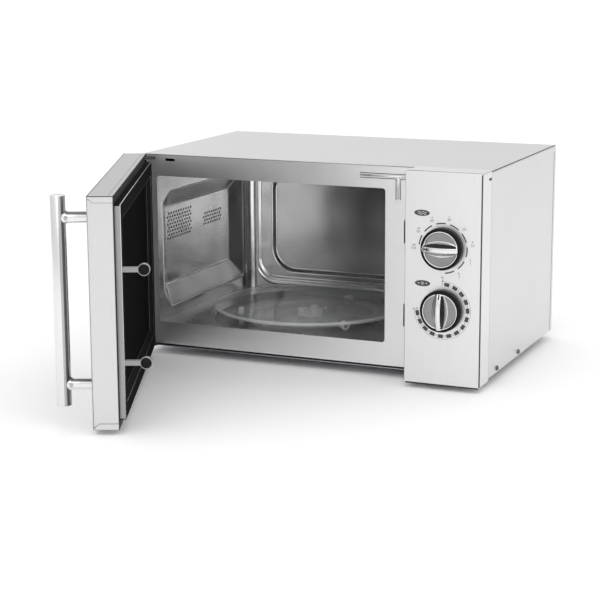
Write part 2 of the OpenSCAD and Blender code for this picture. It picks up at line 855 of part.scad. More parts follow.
module timer_knob() {
  color("silver") place() translate([dial_x, 0, timer_z]) knob();
}

module dial_rings() {
  color("dimgray") place() for (z = [power_z, timer_z]) {
    difference() {
      rod_y([dial_x, -1.5, z], knob_d / 2, 1.5 - gap);
      rod_y([dial_x, -3, z], knob_d / 2 - 4, 5);
    }
  }
}

module control_panel() {
  y1 = front_step - 0.5;
  color("gainsboro") place() difference() {
    along_y(0, y1) round_rect([panel_x, front_z0], [body_w, front_z1], panel_r);
    along_y(sheet, y1 + over) round_rect([panel_x + sheet, front_z0 + sheet],
      [body_w - sheet, front_z1 - sheet], panel_r - sheet);
    for (z = [power_z, timer_z]) rod_y([dial_x, -over, z], dial_shaft_d / 2 + 2, 4);
    // small notch in the right return, near the top
    box([body_w - 2, y1 - 11, front_z1 - 12], [body_w + 2, y1 + over, front_z1 - 9]);
  }
}

module panel_chassis() {
  i = sheet + gap;
  y0 = chassis_y;
  y1 = front_step - 1;
  color("dimgray") place() difference() {
    along_y(y0, y1) round_rect([panel_x + i, front_z0 + i], [body_w - i, front_z1 - i], panel_r - i);
    along_y(y0 + chassis_t, y1 + over) round_rect([panel_x + i + 2, front_z0 + i + 2],
      [body_w - i - 2, front_z1 - i - 2], 1);
    for (z = [power_z, timer_z]) rod_y([dial_x, -over, z], 6, 8);
    // air slots
    for (k = [0:3]) along_y(y0 - over, y0 + 5) translate([dial_x, front_z0 + 16 + 7 * k]) slot(60, 3);
  }
}

// ---- latch and small electrics ----

module latch_board() {
  x0 = latch_x + 5;
  y0 = face_y1 + gap;
  z0 = latch_zs[0] - 26;
  z1 = latch_zs[1] + 24;
  color("whitesmoke") place() difference() {
    union() {
      box([x0, y0, z0], [x0 + 2.5, y0 + 42, z1]);
      box([latch_x - 14, y0, z0], [x0 + 1, y0 + 2.5, z1]);
      // catch under each hook
      for (z = latch_zs) box([latch_x - 4, y0 + 6, z - slot_h / 2 - 4], [x0 + 1, y0 + 14, z - slot_h / 2]);
    }
    along_y(y0 - over, y0 + 4) latch_slots(1);
  }
}

module door_switches() {
  x0 = latch_x + 5 + 2.5 + gap;
  y0 = face_y1 + 26;
  color("dimgray") place() for (z = [latch_zs[0], latch_zs[0] + 19, latch_zs[1]]) {
    difference() {
      box([x0, y0, z - 5], [x0 + 10, y0 + 28, z + 11]);
      for (y = [5, 23]) rod_x([x0 - over, y0 + y, z + 3], 1.5, 14);
    }
    for (y = [6, 14, 22]) box([x0 + 9.9, y0 + y, z], [x0 + 16, y0 + y + 0.8, z + 5]);
  }
}

module thermal_cutout() {
  color("silver") place() translate([bay_x0, cav_y1 - 50, cav_z1 - 60]) {
    rod_x([gap, 0, 0], 8, 6);
    rod_x([6, 0, 0], 6, 5);
    for (y = [-4, 4]) box([10.9, y - 3, -0.4], [18, y + 3, 0.4]);
  }
}

module filter_board() {
  z = cover_z1 - 22;
  x0 = panel_x + 10;
  y0 = front_step + 22;
  color("darkgreen") place() box([x0, y0, z], [x0 + 74, y0 + 50, z + 1.6]);
  color("peru") place() {
    for (y = [14, 36]) translate([x0 + 20, y0 + y, z + 1.6]) cylinder(r = 8, h = 10);
    box([x0 + 40, y0 + 6, z + 1.6], [x0 + 62, y0 + 14, z + 10]);
    box([x0 + 42, y0 + 24, z + 1.6], [x0 + 66, y0 + 42, z + 12]);
  }
}

module lamp_holder() {
  y = lamp_y;
  z = lamp_z;
  color("silver") place() difference() {
    box([bay_x0 + gap, y - 15, z - 15], [bay_x0 + 44, y + 15, z + 15]);
    box([bay_x0 - over, y - 14, z - 14], [bay_x0 + 40, y + 14, z + 14]);
  }
}

module lamp() {
  y = lamp_y;
  z = lamp_z;
  color("lightyellow", 0.7) place() {
    translate([bay_x0 + 17, y, z]) rotate([0, 90, 0]) rotate_extrude()
      polygon([[0, -11], [6, -10], [9.5, -5], [10, 0], [9, 5], [6.5, 9], [6.5, 22], [0, 22]]);
  }
}

module cord_gland() {
  x = gland_x;
  z = gland_z;
  color("dimgray") place() difference() {
    union() {
      rod_y([x, rear_y - 4, z], 7.9, 4 + sheet + 5);
      rod_y([x, rear_y + sheet + gap, z], 10.5, 3);
      rod_y([x, rear_y - 4, z], 10.5, 4 - gap);
    }
    rod_y([x, rear_y - 10, z], 3.6, 30);
  }
}

// ---- hinge ----

module hinge_plate(z, y1) {
  difference() {
    union() {
      translate([hinge_x, hinge_y, z]) cylinder(r = 4.1, h = hinge_t);
      box([hinge_x - 4.1, hinge_y, z], [20, y1, z + hinge_t]);
    }
    // the plate narrows towards the pin
    translate([24, hinge_y - 2, z - over]) cylinder(r = 13.5, h = hinge_t + 2 * over);
  }
}

module upper_hinge() {
  z = upper_plate_z;
  color("dimgray") place() {
    hinge_plate(z, face_y1 + 4);
    box([2.5, face_y1 + gap, z - 14], [28, face_y1 + gap + hinge_t, z + hinge_t]);
    translate([hinge_x, hinge_y, z - 7]) cylinder(r = pin_r, h = 7.5);
  }
}

module lower_hinge() {
  z = lower_plate_z;
  color("dimgray") place() {
    hinge_plate(z, 62);
    translate([hinge_x, hinge_y, z + hinge_t - 0.5]) cylinder(r = pin_r, h = 7.5);
  }
}

// ---- door, drawn closed ----

// Rectangle (x, z) of the whole door, inset by i.
module door_rect(i) {
  rect([door_x0 + i, front_z0 + i], [door_x1 - i, front_z1 - i]);
}

module door_bezel() {
  tab_h = 7;
  color("gainsboro") on_door() difference() {
    along_y(0, bezel_d) door_rect(0);
    along_y(sheet, bezel_d + over) rect([door_x0 + sheet, front_z0 + sheet],
      [door_x1 - 2 * sheet, front_z1 - sheet]);
    along_y(-over, 2) round_rect([door_x0 + window_border, front_z0 + window_border],
      [door_x1 - window_border, front_z1 - window_border], 8);
    // the free edge lies one sheet deep between the folded corner tabs
    along_x(door_x1 - sheet, door_x1 + over) polygon([
      [-over, front_z0 + 2], [1, front_z0 + 2], [7, front_z0 + tab_h],
      [bezel_d + over, front_z0 + tab_h], [bezel_d + over, front_z1 - tab_h],
      [7, front_z1 - tab_h], [1, front_z1 - 2], [-over, front_z1 - 2]]);
    for (z = standoff_zs) rod_y([bar_x, -over, z], 2.6, 4);
    // the side gives way to the hinge plates as the door swings
    for (z = [upper_plate_z, lower_plate_z])
      box([door_x0 - over, hinge_y - 7.5, z - 1], [door_x0 + 2, bezel_d + over, z + hinge_t + 1]);
  }
}

// Hinge ear at height z, reaching from the pin into the door's frame.
module hinge_ear(z) {
  difference() {
    box([door_x0 + 2, hinge_y - 7, z], [26, bezel_d - 1, z + ear_t]);
    translate([hinge_x, hinge_y, z - over]) cylinder(r = pin_r + run, h = ear_t + 2 * over);
  }
}

module door_frame() {
  i = sheet + gap;
  y0 = 18;
  wx = window_inset;
  color("silver") on_door() {
    difference() {
      union() {
        // ring that closes the bezel's back
        along_y(bezel_d - sheet, bezel_d) rect([door_x0 + i, front_z0 + i],
          [door_x1 - 2 * sheet - gap, front_z1 - i]);
        // perforated sheet with its side walls
        along_y(y0, bezel_d) rect([choke_x0 + 16, choke_z0 + 14], [choke_x1 - 20, choke_z1 - 14]);
      }
      along_y(y0 + sheet, bezel_d + over) rect([choke_x0 + 16 + sheet, choke_z0 + 14 + sheet],
        [choke_x1 - 20 - sheet, choke_z1 - 14 - sheet]);
      // window of the pressed sheet
      along_y(y0 - over, y0 + 2) round_rect([door_x0 + window_border + 8, front_z0 + window_border + 8],
        [door_x1 - window_border - 8, front_z1 - window_border - 8], 6);
      // room for the hinge plates and the lever's hooks
      box([0, bezel_d - 2, front_z1 - 10], [24, bezel_d + 1, front_z1]);
      box([0, bezel_d - 2, front_z0], [24, bezel_d + 1, front_z0 + 11.5]);
      along_y(bezel_d - 2, bezel_d + 1) latch_slots(0);
    }
    hinge_ear(upper_plate_z - 5);
    hinge_ear(lower_plate_z + hinge_t + 3);
    // seat above the latch spring
    box([latch_x - 8, lever_y, spring_z1 + 0.1], [latch_x + 4, bezel_d - 0.3, spring_z1 + 1.1]);
    for (z = [upper_plate_z - 5, lower_plate_z + hinge_t + 3])
      box([24.5, hinge_y - 6, z - 3], [26.5, bezel_d - 0.3, z + ear_t + 3]);
  }
}

module choke_cover() {
  b = choke_border;
  s = b + choke_slope;
  thin = 0.05;
  color("black") on_door() difference() {
    along_y(choke_y0, inner_y) round_rect([choke_x0, choke_z0], [choke_x1, choke_z1], 3);
    // slope down to the window
    hull() {
      along_y(inner_y, inner_y + thin) rect([choke_x0 + b, choke_z0 + b], [choke_x1 - b, choke_z1 - b]);
      along_y(choke_y0 + 2, choke_y0 + 2 + thin)
        rect([choke_x0 + s, choke_z0 + s], [choke_x1 - s, choke_z1 - s]);
    }
    along_y(choke_y0 - over, choke_y0 + 3)
      rect([choke_x0 + s, choke_z0 + s], [choke_x1 - s, choke_z1 - s]);
    // slots for the latch hooks
    along_y(choke_y0 - over, inner_y + over) for (z = latch_zs) {
      rect([latch_x - 3, z - 9], [choke_x1 - 0.8, z + 12]);
    }
  }
}

module inner_glass() {
  y0 = choke_y0 - 2.2;
  i = choke_border + 2;
  color("dimgray", 0.6) on_door() along_y(y0, choke_y0 - gap)
    rect([choke_x0 + i, choke_z0 + i], [choke_x1 - 22, choke_z1 - i]);
}

module outer_glass() {
  i = window_border - 10;
  color("dimgray", 0.6) on_door() along_y(sheet + gap, sheet + gap + 3)
    rect([door_x0 + i, front_z0 + i], [door_x1 - i, front_z1 - i]);
}

module latch_lever() {
  x0 = latch_x - latch_w / 2;
  y1 = inner_y + hook_reach;
  head = 7;
  color("dimgray") on_door() {
    box([x0 - 2, lever_y, latch_zs[0] - 18], [x0 + latch_w, lever_y + lever_w, latch_zs[1] + 12]);
    for (z = latch_zs) {
      // arm, and the hook's round head
      box([x0, lever_y + lever_w - 0.5, z - 3], [x0 + latch_w, y1 - head, z + 3]);
      rod_x([x0, y1 - head, z], head, latch_w);
    }
    // post that holds the spring
    translate([x0 + 1.5, lever_y + lever_w / 2, latch_zs[1] + 12]) cylinder(r = 1.4, h = 5);
  }
}

// The spring that pulls the lever down, wound about the post.
module latch_spring() {
  r = 2.6;
  pitch = spring_pitch;
  x = latch_x - latch_w / 2 + 1.5;
  color("silver") on_door() translate([x, lever_y + lever_w / 2, spring_z0 + spring_wire]) {
    for (i = [0:spring_turns]) translate([0, 0, pitch * i])
      rotate_extrude($fn = 24) translate([r, 0]) circle(r = spring_wire, $fn = 14);
    for (i = [0:spring_turns - 1]) rotate([0, 0, 180 * i]) translate([r, 0, pitch * i])
      cylinder(r = spring_wire * 0.9, h = pitch);
  }
}

module door_handle() {
  r = handle_d / 2;
  bevel = 0.8;
  color("silver") on_door() {
    difference() {
      union() {
        translate([bar_x, -handle_off, bar_z0]) {
          cylinder(r1 = r - bevel, r2 = r, h = bevel);
          translate([0, 0, bevel]) cylinder(r = r, h = bar_z1 - bar_z0 - 2 * bevel);
          translate([0, 0, bar_z1 - bar_z0 - bevel]) cylinder(r1 = r, r2 = r - bevel, h = bevel);
        }
        for (z = standoff_zs) rod_y([bar_x, -handle_off, z], standoff_d / 2, handle_off - gap);
      }
      for (z = standoff_zs) rod_y([bar_x, -16, z], 2.1, 20);
    }
  }
}

module handle_screws() {
  color("silver") on_door() for (z = standoff_zs) {
    translate([bar_x, sheet, z]) rotate([90, 0, 0]) {
      translate([0, 0, -2.4]) cylinder(r = 4, h = 2.3);
      translate([0, 0, -0.2]) cylinder(r = 2, h = 15);
    }
  }
}

cover();
rear_panel();
base_plate();
feet();
foot_screws();
cover_screws();
face_plate();
cavity_left_wall();
cavity_right_wall();
cavity_ceiling();
cavity_floor();
cavity_back();
waveguide();
waveguide_cover();
magnetron();
magnetron_antenna();
transformer_core();
transformer_windings();
capacitor();
capacitor_clamp();
high_voltage_diode();
air_duct();
fan_motor();
fan_blade();
turntable_motor();
drive_shaft();
drive_coupler();
roller_ring();
roller(0);  // roller_a
roller(1);  // roller_b
roller(2);  // roller_c
glass_tray();
timer_unit();
dial_shaft(timer_z);  // timer_shaft
timer_knob();
power_selector();
dial_shaft(power_z);  // power_shaft
power_knob();
dial_rings();
control_panel();
panel_chassis();
latch_board();
door_switches();
thermal_cutout();
filter_board();
lamp();
lamp_holder();
grill_element();
cord_gland();
upper_hinge();
lower_hinge();
door_bezel();
door_frame();
choke_cover();
outer_glass();
inner_glass();
latch_lever();
latch_spring();
door_handle();
handle_screws();
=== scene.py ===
# %% [markdown]
# # A stainless microwave oven
# This script dresses a finished engineering model of a countertop microwave oven. The model already
# holds every part at its real size, so the work here is finish: fine edges, printed dials, glass,
# brushed and polished steel, soft studio light and a camera. Each step says what the real piece is,
# how it could be made in Blender, and why this way was picked.

import bpy
import bmesh
import json
import math
import numpy as np
from mathutils import Matrix, Vector

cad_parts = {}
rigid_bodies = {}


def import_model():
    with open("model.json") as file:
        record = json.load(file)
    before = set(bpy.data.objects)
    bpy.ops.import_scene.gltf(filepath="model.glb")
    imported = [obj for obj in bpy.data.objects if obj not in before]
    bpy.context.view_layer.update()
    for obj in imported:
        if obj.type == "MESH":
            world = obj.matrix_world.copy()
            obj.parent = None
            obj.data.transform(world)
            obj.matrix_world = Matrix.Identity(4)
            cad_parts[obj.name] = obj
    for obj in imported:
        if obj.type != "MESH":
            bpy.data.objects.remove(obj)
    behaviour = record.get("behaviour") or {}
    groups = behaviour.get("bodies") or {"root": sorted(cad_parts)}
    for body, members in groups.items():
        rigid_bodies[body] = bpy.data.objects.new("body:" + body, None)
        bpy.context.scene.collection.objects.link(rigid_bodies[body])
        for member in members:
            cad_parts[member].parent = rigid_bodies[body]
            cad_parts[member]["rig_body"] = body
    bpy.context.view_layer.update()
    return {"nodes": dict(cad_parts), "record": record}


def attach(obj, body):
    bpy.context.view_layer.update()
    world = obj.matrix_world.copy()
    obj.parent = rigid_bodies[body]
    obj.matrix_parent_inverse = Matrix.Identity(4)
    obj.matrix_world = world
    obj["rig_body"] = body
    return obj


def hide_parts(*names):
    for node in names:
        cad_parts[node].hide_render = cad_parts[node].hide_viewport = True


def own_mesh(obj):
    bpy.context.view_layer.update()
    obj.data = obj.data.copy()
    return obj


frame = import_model()
print(len(frame["nodes"]), "parts loaded")

# %% [markdown]
# The cabinet's own drawing counts millimetres from its front left bottom corner. The model is in
# metres about the middle of the footprint. One small function takes the drawing's numbers into the
# model, so every later cell can use the sizes that a fitter would read off the drawing.

# %% From the drawing to the model
MM = 0.001
BODY_W, BODY_D = 483.0, 330.0
PANEL_X = 385.0
DIAL_X, POWER_Z, TIMER_Z = 434.0, 178.0, 101.0
HINGE_X, HINGE_Y, DOOR_OPEN = 6.0, 20.0, math.radians(66.8)
CAVITY_LEFT, CAVITY_RIGHT, CAVITY_REAR = 22.6, 345.0, 318.0
WALL_FOOT, WALL_TOP = 43.8, 242.2
TRAY_X, TRAY_Y, TRAY_Z = 183.8, 177.9, 48.6


def from_corner(points):
    """Drawing millimetres to model metres: subtract half the footprint and divide by a thousand."""
    return (np.asarray(points, float) - [BODY_W / 2, BODY_D / 2, 0.0]) * MM


def turn_pair(a, b, angle):
    """Turn (a, b) by an angle: (cos * a + sin * b, cos * b - sin * a)."""
    c, s = math.cos(angle), math.sin(angle)
    return c * a + s * b, c * b - s * a


def about_hinge(points, angle):
    """Drawing points turned about the hinge pin, seen from above."""
    p = np.array(points, float)
    x, y = turn_pair(p[..., 0] - HINGE_X, p[..., 1] - HINGE_Y, angle)
    p[..., 0], p[..., 1] = HINGE_X + x, HINGE_Y + y
    return p


def on_open_door(points):
    """The door is drawn shut and stands open: turn the points by the door's angle."""
    return about_hinge(points, DOOR_OPEN)


def from_open_door(points):
    """Drawing millimetres on the shut door to model metres on the open one."""
    return from_corner(on_open_door(points))


print("tray centre", from_corner([TRAY_X, TRAY_Y, TRAY_Z]))

# %% [markdown]
# Most shapes below are one of two kinds: a sheet of points on a regular grid, or a profile spun
# about an axis. Both become a mesh in the same way, so two helpers cover them. Whole arrays go in
# at once, which is quick and keeps each cell short.

# %% Mesh helpers


def new_piece(name, points, faces, smooth=True):
    """A mesh object from model-space points and faces, lying at the origin."""
    mesh = bpy.data.meshes.new(name)
    mesh.from_pydata(np.asarray(points, float).reshape(-1, 3).tolist(), [], faces)
    mesh.validate()
    mesh.polygons.foreach_set("use_smooth", [smooth] * len(mesh.polygons))
    piece = bpy.data.objects.new(name, mesh)
    bpy.context.scene.collection.objects.link(piece)
    return piece


def grid_faces(rows, columns, wrap_rows=False, wrap_columns=False):
    """Quads between neighbouring grid points; wrapping joins the last row or column to the first."""
    i = np.arange(rows if wrap_rows else rows - 1)
    j = np.arange(columns if wrap_columns else columns - 1)
    i, j = (a.ravel() for a in np.meshgrid(i, j, indexing="ij"))
    i1, j1 = (i + 1) % rows, (j + 1) % columns
    quads = [i * columns + j, i1 * columns + j, i1 * columns + j1, i * columns + j1]
    return np.stack(quads, 1).tolist()


def lathe(profile, centre, axis="z", segments=96):
    """Points (r cos a, r sin a, h) for every profile pair (r, h), turned so that h runs along axis."""
    profile = np.asarray(profile, float)
    a = np.linspace(0, 2 * math.pi, segments, endpoint=False)
    r, h = profile[:, :1], profile[:, 1:]
    ring = np.stack([r * np.cos(a), r * np.sin(a), h + 0 * a], -1)
    if axis == "-y":
        ring = np.stack([ring[..., 0], -ring[..., 2], ring[..., 1]], -1)
    if axis == "x":
        ring = np.stack([ring[..., 2], ring[..., 0], ring[..., 1]], -1)
    return ring + np.asarray(centre, float)


def outward(piece):
    """Merge the doubled points at poles and seams, then turn every face outwards."""
    work = bmesh.new()
    work.from_mesh(piece.data)
    bmesh.ops.remove_doubles(work, verts=work.verts, dist=1e-6)
    bmesh.ops.recalc_face_normals(work, faces=work.faces)
    work.to_mesh(piece.data)
    work.free()
    return piece


def round_piece(name, grid, wrap_rows=False):
    """A closed shape from rows and columns of drawing points, each row joined into a ring."""
    return outward(new_piece(name, from_corner(grid), grid_faces(*grid.shape[:2], wrap_rows, True)))


def face_middles(piece):
    """The middle of every face, taken back to drawing millimetres."""
    return np.array([face.center for face in piece.data.polygons]) / MM + [BODY_W / 2, BODY_D / 2, 0]


def face_normals(piece):
    """The direction that every face looks in."""
    return np.array([face.normal for face in piece.data.polygons])


def second_finish(piece, material, picked):
    """Add a material and give it to the faces that the mask picks."""
    piece.data.materials.append(material)
    for i in np.nonzero(picked)[0]:
        piece.data.polygons[int(i)].material_index = len(piece.data.materials) - 1


def join(name, pieces, body, material):
    """One piece from several, riding on a body, in one material."""
    work = bmesh.new()
    for p in pieces:
        work.from_mesh(p.data)
    whole = pieces[0]
    work.to_mesh(whole.data)
    work.free()
    for p in pieces[1:]:
        bpy.data.objects.remove(p)
    whole.name = name
    whole.data.name = name
    return dress(whole, body, material)


def only_finish(piece, material):
    """Clear a piece's materials and give it this one."""
    piece.data.materials.clear()
    piece.data.materials.append(material)


def dress(piece, body, material):
    """Give a piece its one material and the body it moves with."""
    only_finish(piece, material)
    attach(piece, body)
    return piece


print("helpers ready")

# %% [markdown]
# Three surface effects turn up on many parts, so each is a node group made once. The grain is a
# noise stretched along one direction, as a polishing belt leaves it. The handling marks are large
# soft patches, as hands and cloths leave. The pressing waves are the slow ripples that make a
# reflection in thin sheet steel wander. Each group puts out one mask or height from 0 to 1, and the
# shader itself stays in the material.

# %% Shared surface effects


def new_node(tree, kind, sockets=None, **settings):
    """A shader node: its settings by name, then each socket given a value or another node's output."""
    made = tree.nodes.new("ShaderNode" + kind)
    for label, value in settings.items():
        setattr(made, label, value)
    for label, value in (sockets or {}).items():
        if isinstance(value, bpy.types.NodeSocket):
            tree.links.new(value, made.inputs[label])
        else:
            made.inputs[label].default_value = value
    return made


def noise_effect(name, scale, result, detail, power):
    """A group: noise at the given scale, raised to a power so that the marks are sparse or even."""
    group = bpy.data.node_groups.new(name, "ShaderNodeTree")
    socket = group.interface.new_socket
    socket("Vector", in_out="INPUT", socket_type="NodeSocketVector")
    socket("Scale", in_out="INPUT", socket_type="NodeSocketFloat").default_value = scale
    socket(result, in_out="OUTPUT", socket_type="NodeSocketFloat")
    given, out = group.nodes.new("NodeGroupInput").outputs, group.nodes.new("NodeGroupOutput").inputs
    noise = new_node(group, "TexNoise", {"Detail": detail, "Vector": given["Vector"], "Scale": given["Scale"]})
    spread = new_node(group, "MapRange", {"From Min": 0.3, "From Max": 0.7, "Value": noise.outputs["Fac"]})
    shaped = new_node(group, "Math", {0: spread.outputs["Result"], 1: power}, operation="POWER")
    group.links.new(shaped.outputs[0], out[result])
    return group


GRAIN = noise_effect("brushed grain", 60.0, "Grain", 4.0, 1.0)
MARKS = noise_effect("handling marks", 9.0, "Marks", 3.0, 1.6)
WAVES = noise_effect("pressing waves", 14.0, "Waves", 1.0, 1.0)
print("effects:", [g.name for g in bpy.data.node_groups])

# %% [markdown]
# Every finish on the oven is one recipe with different numbers: two close colours mixed by the
# grain, a roughness that the handling marks push up and down, and a bump from the grain and the
# waves. Writing the recipe once keeps the steels related to each other, as they are on a real oven,
# where one coil of sheet is brushed, polished or left as it comes from the mill.

# %% The finish recipe


def shade_of(colour):
    """A plain number is a grey, three numbers are a colour, and both end in an alpha of 1."""
    return (*((colour,) * 3 if isinstance(colour, float) else colour), 1)


def finish(name, colour, deeper, rough, metal=0.0, stretch=(1, 1, 1), grain=60.0, bump=0.05,
           spread=0.08, waves=0.0, wave_scale=14.0, **shader_values):
    """colour and deeper are mixed by the grain; roughness runs from rough to rough + spread."""
    made = bpy.data.materials.new(name)
    made.use_nodes = True
    tree = made.node_tree
    shader, link = tree.nodes["Principled BSDF"].inputs, tree.links.new
    where = new_node(tree, "TexCoord").outputs["Object"]
    turned = new_node(tree, "Mapping", {"Vector": where, "Scale": stretch}).outputs["Vector"]
    grains = new_node(tree, "Group", {"Scale": grain, "Vector": turned}, node_tree=GRAIN).outputs["Grain"]
    marks = new_node(tree, "Group", {"Vector": where}, node_tree=MARKS).outputs["Marks"]
    tint = new_node(tree, "Mix", {"A": shade_of(colour), "B": shade_of(deeper), "Factor": grains}, data_type="RGBA")
    link(tint.outputs["Result"], shader["Base Color"])
    sheen = new_node(tree, "MapRange", {"Value": marks, "To Min": rough, "To Max": min(1.0, rough + spread)})
    link(sheen.outputs["Result"], shader["Roughness"])
    relief = new_node(tree, "Bump", {"Strength": bump, "Distance": 0.0004, "Height": grains}).outputs["Normal"]
    if waves:
        ripple = new_node(tree, "Group", {"Scale": wave_scale, "Vector": where}, node_tree=WAVES).outputs["Waves"]
        relief = new_node(tree, "Bump", {"Strength": waves, "Distance": 0.004, "Height": ripple,
                                         "Normal": relief}).outputs["Normal"]
    link(relief, shader["Normal"])
    shader["Metallic"].default_value = metal
    for socket, value in shader_values.items():
        shader[socket.replace("_", " ")].default_value = value
    return made


# %% [markdown]
# The finishes follow in two lists, the bare metals and all the rest. A plain number stands for a
# grey. After the two shades come roughness, metallic, the stretch of the grain, its scale, its
# bump, the spread of roughness, and for thin sheet the strength and scale of its waves. The
# shaded and darker ones aren't separate metals on a real oven: they are painted shade, the tone
# that a face shows where the studio around the oven can't give it. These are the knob's flank and
# sunk face, the door's top, the handle's two bands, the pocket's upward slopes and the cavity
# floor; the tray's rim is a painted highlight.

# %% The oven's finishes
ALONG_X, ALONG_Y, ALONG_Z, EVEN = (0.03, 1, 1), (1, 0.03, 1), (1, 1, 0.03), (1, 1, 1)
STEEL = {
    "satin_steel": finish("satin cover steel", 0.72, 0.69, 0.36, 1.0, ALONG_Y, 1500, 0.03, 0.05, 0.03, 7),
    "panel_steel": finish("satin front steel", 0.8, 0.77, 0.38, 1.0, ALONG_Z, 1500, 0.03, 0.05, 0.02, 7),
    "polished_steel": finish("polished face steel", 0.86, 0.83, 0.42, 1.0, ALONG_X, 1400, 0.02, 0.05, 0.10, 7),
    "cavity_steel": finish("polished cavity steel", 0.56, 0.52, 0.16, 1.0, ALONG_Z, 1200, 0.004, 0.06, 0.16,
                           15),
    "back_steel": finish("satin cavity back", 0.86, 0.82, 0.20, 1.0, ALONG_Z, 1200, 0.004, 0.06, 0.40, 9),
    # Painted shade: the cavity floor is darker than the walls; its brushing is real.
    "floor_steel": finish("brushed cavity floor in painted shade", 0.42, 0.39, 0.26, 1.0, ALONG_X, 1200, 0.03, 0.06, 0.06, 9),
    "zinc_steel": finish("zinc coated steel", (0.62, 0.63, 0.65), (0.50, 0.51, 0.54), 0.38, 1.0, EVEN, 90,
                         0.06, 0.18),
    "handle_steel": finish("polished handle steel", 0.8, 0.76, 0.20, 1.0, ALONG_Z, 1500, 0.02, 0.05),
    "screw_steel": finish("bright screw steel", (0.62, 0.62, 0.63), (0.52, 0.52, 0.54), 0.25, 1.0, EVEN,
                          300, 0.05, 0.1),
    "knob_chrome": finish("satin knob chrome", 0.82, 0.76, 0.20, 1.0, ALONG_X, 1600, 0.03, 0.06),
    # Painted shade: the dark reflection on one flank of each knob's grip.
    "knob_painted_shade": finish("painted shade on knob flank", 0.08, 0.06, 0.24, 1.0, ALONG_X, 1600, 0.03, 0.06),
    "bezel_steel": finish("satin door steel", 0.68, 0.65, 0.36, 1.0, ALONG_Z, 1500, 0.03, 0.05, 0.02, 7),
    # Painted shade: the door's top faces are given a darker steel than its front.
    "bezel_top_painted_shade": finish("painted shade on door top", 0.53, 0.5, 0.34, 1.0, ALONG_X, 1500, 0.03, 0.05, 0.02, 7),
    # Painted shade: darker bands on the handle bar for the door's dark reflection.
    "handle_painted_half_shade": finish("painted half shade on handle side", 0.46, 0.42, 0.22, 1.0, ALONG_Z, 1500, 0.02, 0.05),
    "handle_painted_shade": finish("painted shade on handle back", 0.16, 0.14, 0.22, 1.0, ALONG_Z, 1500, 0.02, 0.05),
    # Painted shade: the pocket's upward-facing slopes are given a darker steel.
    "pocket_painted_shade": finish("painted shade on pocket slope", 0.36, 0.32, 0.20, 1.0, ALONG_Y, 1200, 0.02, 0.06, 0.16, 15),
    "dark_screw": finish("dark screw", 0.1, 0.14, 0.35, 0.8, EVEN, 300, 0.05, 0.1),
    # Painted shade: the darker tone of each knob's sunk face inside its ring.
    "knob_face": finish("painted shade on sunk knob face", 0.3, 0.26, 0.26, 1.0, ALONG_X, 1600, 0.03, 0.06),
    "can_aluminium": finish("drawn aluminium", (0.80, 0.80, 0.82), (0.72, 0.72, 0.74), 0.3, 1.0, ALONG_Y,
                            200, 0.06, 0.1),
    "copper": finish("lacquered copper", (0.75, 0.36, 0.18), (0.55, 0.24, 0.11), 0.3, 1.0, (1, 1, 14), 90,
                     0.3, 0.1, Coat_Weight=0.4),
}
OTHER = {
    "door_steel": finish("black frame paint", 0.016, 0.024, 0.42, 0.0, EVEN, 600, 0.10, 0.10,
                         Specular_IOR_Level=0.06),
    "hinge_steel": finish("black hinge paint", 0.02, 0.03, 0.35, 0.0, EVEN, 700, 0.12, 0.12),
    "foot_rubber": finish("foot rubber", 0.035, 0.055, 0.75, 0.0, EVEN, 500, 0.25, 0.15),
    "mica": finish("mica sheet", (0.72, 0.66, 0.54), (0.60, 0.53, 0.41), 0.45, 0.0, (1, 0.4, 1), 160, 0.15,
                   0.2),
    "core_iron": finish("laminated core iron", (0.10, 0.10, 0.11), (0.18, 0.17, 0.17), 0.45, 0.6, (1, 26, 1),
                        60, 0.5, 0.15),
    "choke_black": finish("matt door moulding", 0.012, 0.02, 0.30, 0.0, EVEN, 700, 0.06, 0.10,
                          Specular_IOR_Level=0.0),
    "black_plastic": finish("black moulded plastic", 0.022, 0.034, 0.5, 0.0, EVEN, 700, 0.12, 0.12),
    "white_plastic": finish("white moulded plastic", (0.83, 0.83, 0.81), (0.76, 0.76, 0.73), 0.42, 0.0,
                            EVEN, 500, 0.06, 0.12, Subsurface_Weight=0.05),
    "grey_plastic": finish("grey latch plastic", 0.26, 0.3, 0.33, 0.0, EVEN, 600, 0.08, 0.12),
    "black_gloss": finish("black gloss moulding", 0.01, 0.016, 0.16, 0.0, EVEN, 500, 0.02, 0.07, waves=0.05,
                          Specular_IOR_Level=0.05),
    "circuit_board": finish("green circuit board", (0.03, 0.20, 0.07), (0.05, 0.28, 0.10), 0.3, 0.0,
                            (1, 6, 1), 130, 0.1, 0.1, Coat_Weight=0.3),
    "heater_sheath": finish("heat tinted sheath", (0.16, 0.14, 0.13), (0.09, 0.09, 0.10), 0.4, 0.7, EVEN,
                            80, 0.08, 0.15),
    "tray_glass": finish("clear tray glass", (0.90, 0.92, 0.92), (0.86, 0.89, 0.89), 0.03, 0.0, EVEN, 40,
                         0.01, 0.02, Alpha=0.20),
    "ring_plastic": finish("frosted ring plastic", 0.62, 0.56, 0.30, 0.0, EVEN, 300, 0.05, 0.10, Alpha=0.28),
    # Painted highlight: a more opaque copy of the tray glass makes the rim read bright.
    "tray_rim_painted_highlight": finish("painted highlight on tray rim", (0.88, 0.90, 0.90), (0.84, 0.87, 0.87), 0.05, 0.0, EVEN, 40, 0.01,
                       0.02, Alpha=0.42),
    "dark_glass": finish("smoked window glass", (0.012, 0.012, 0.013), 0.018, 0.06, 0.0, EVEN, 60, 0.01,
                         0.03, Specular_IOR_Level=0.15),
    "lamp_glass": finish("lamp glass", (0.96, 0.93, 0.86), (0.94, 0.90, 0.82), 0.05, 0.0, EVEN, 60, 0.01,
                         0.03, Transmission_Weight=0.9, IOR=1.46),
}
FINISHES = {**STEEL, **OTHER}
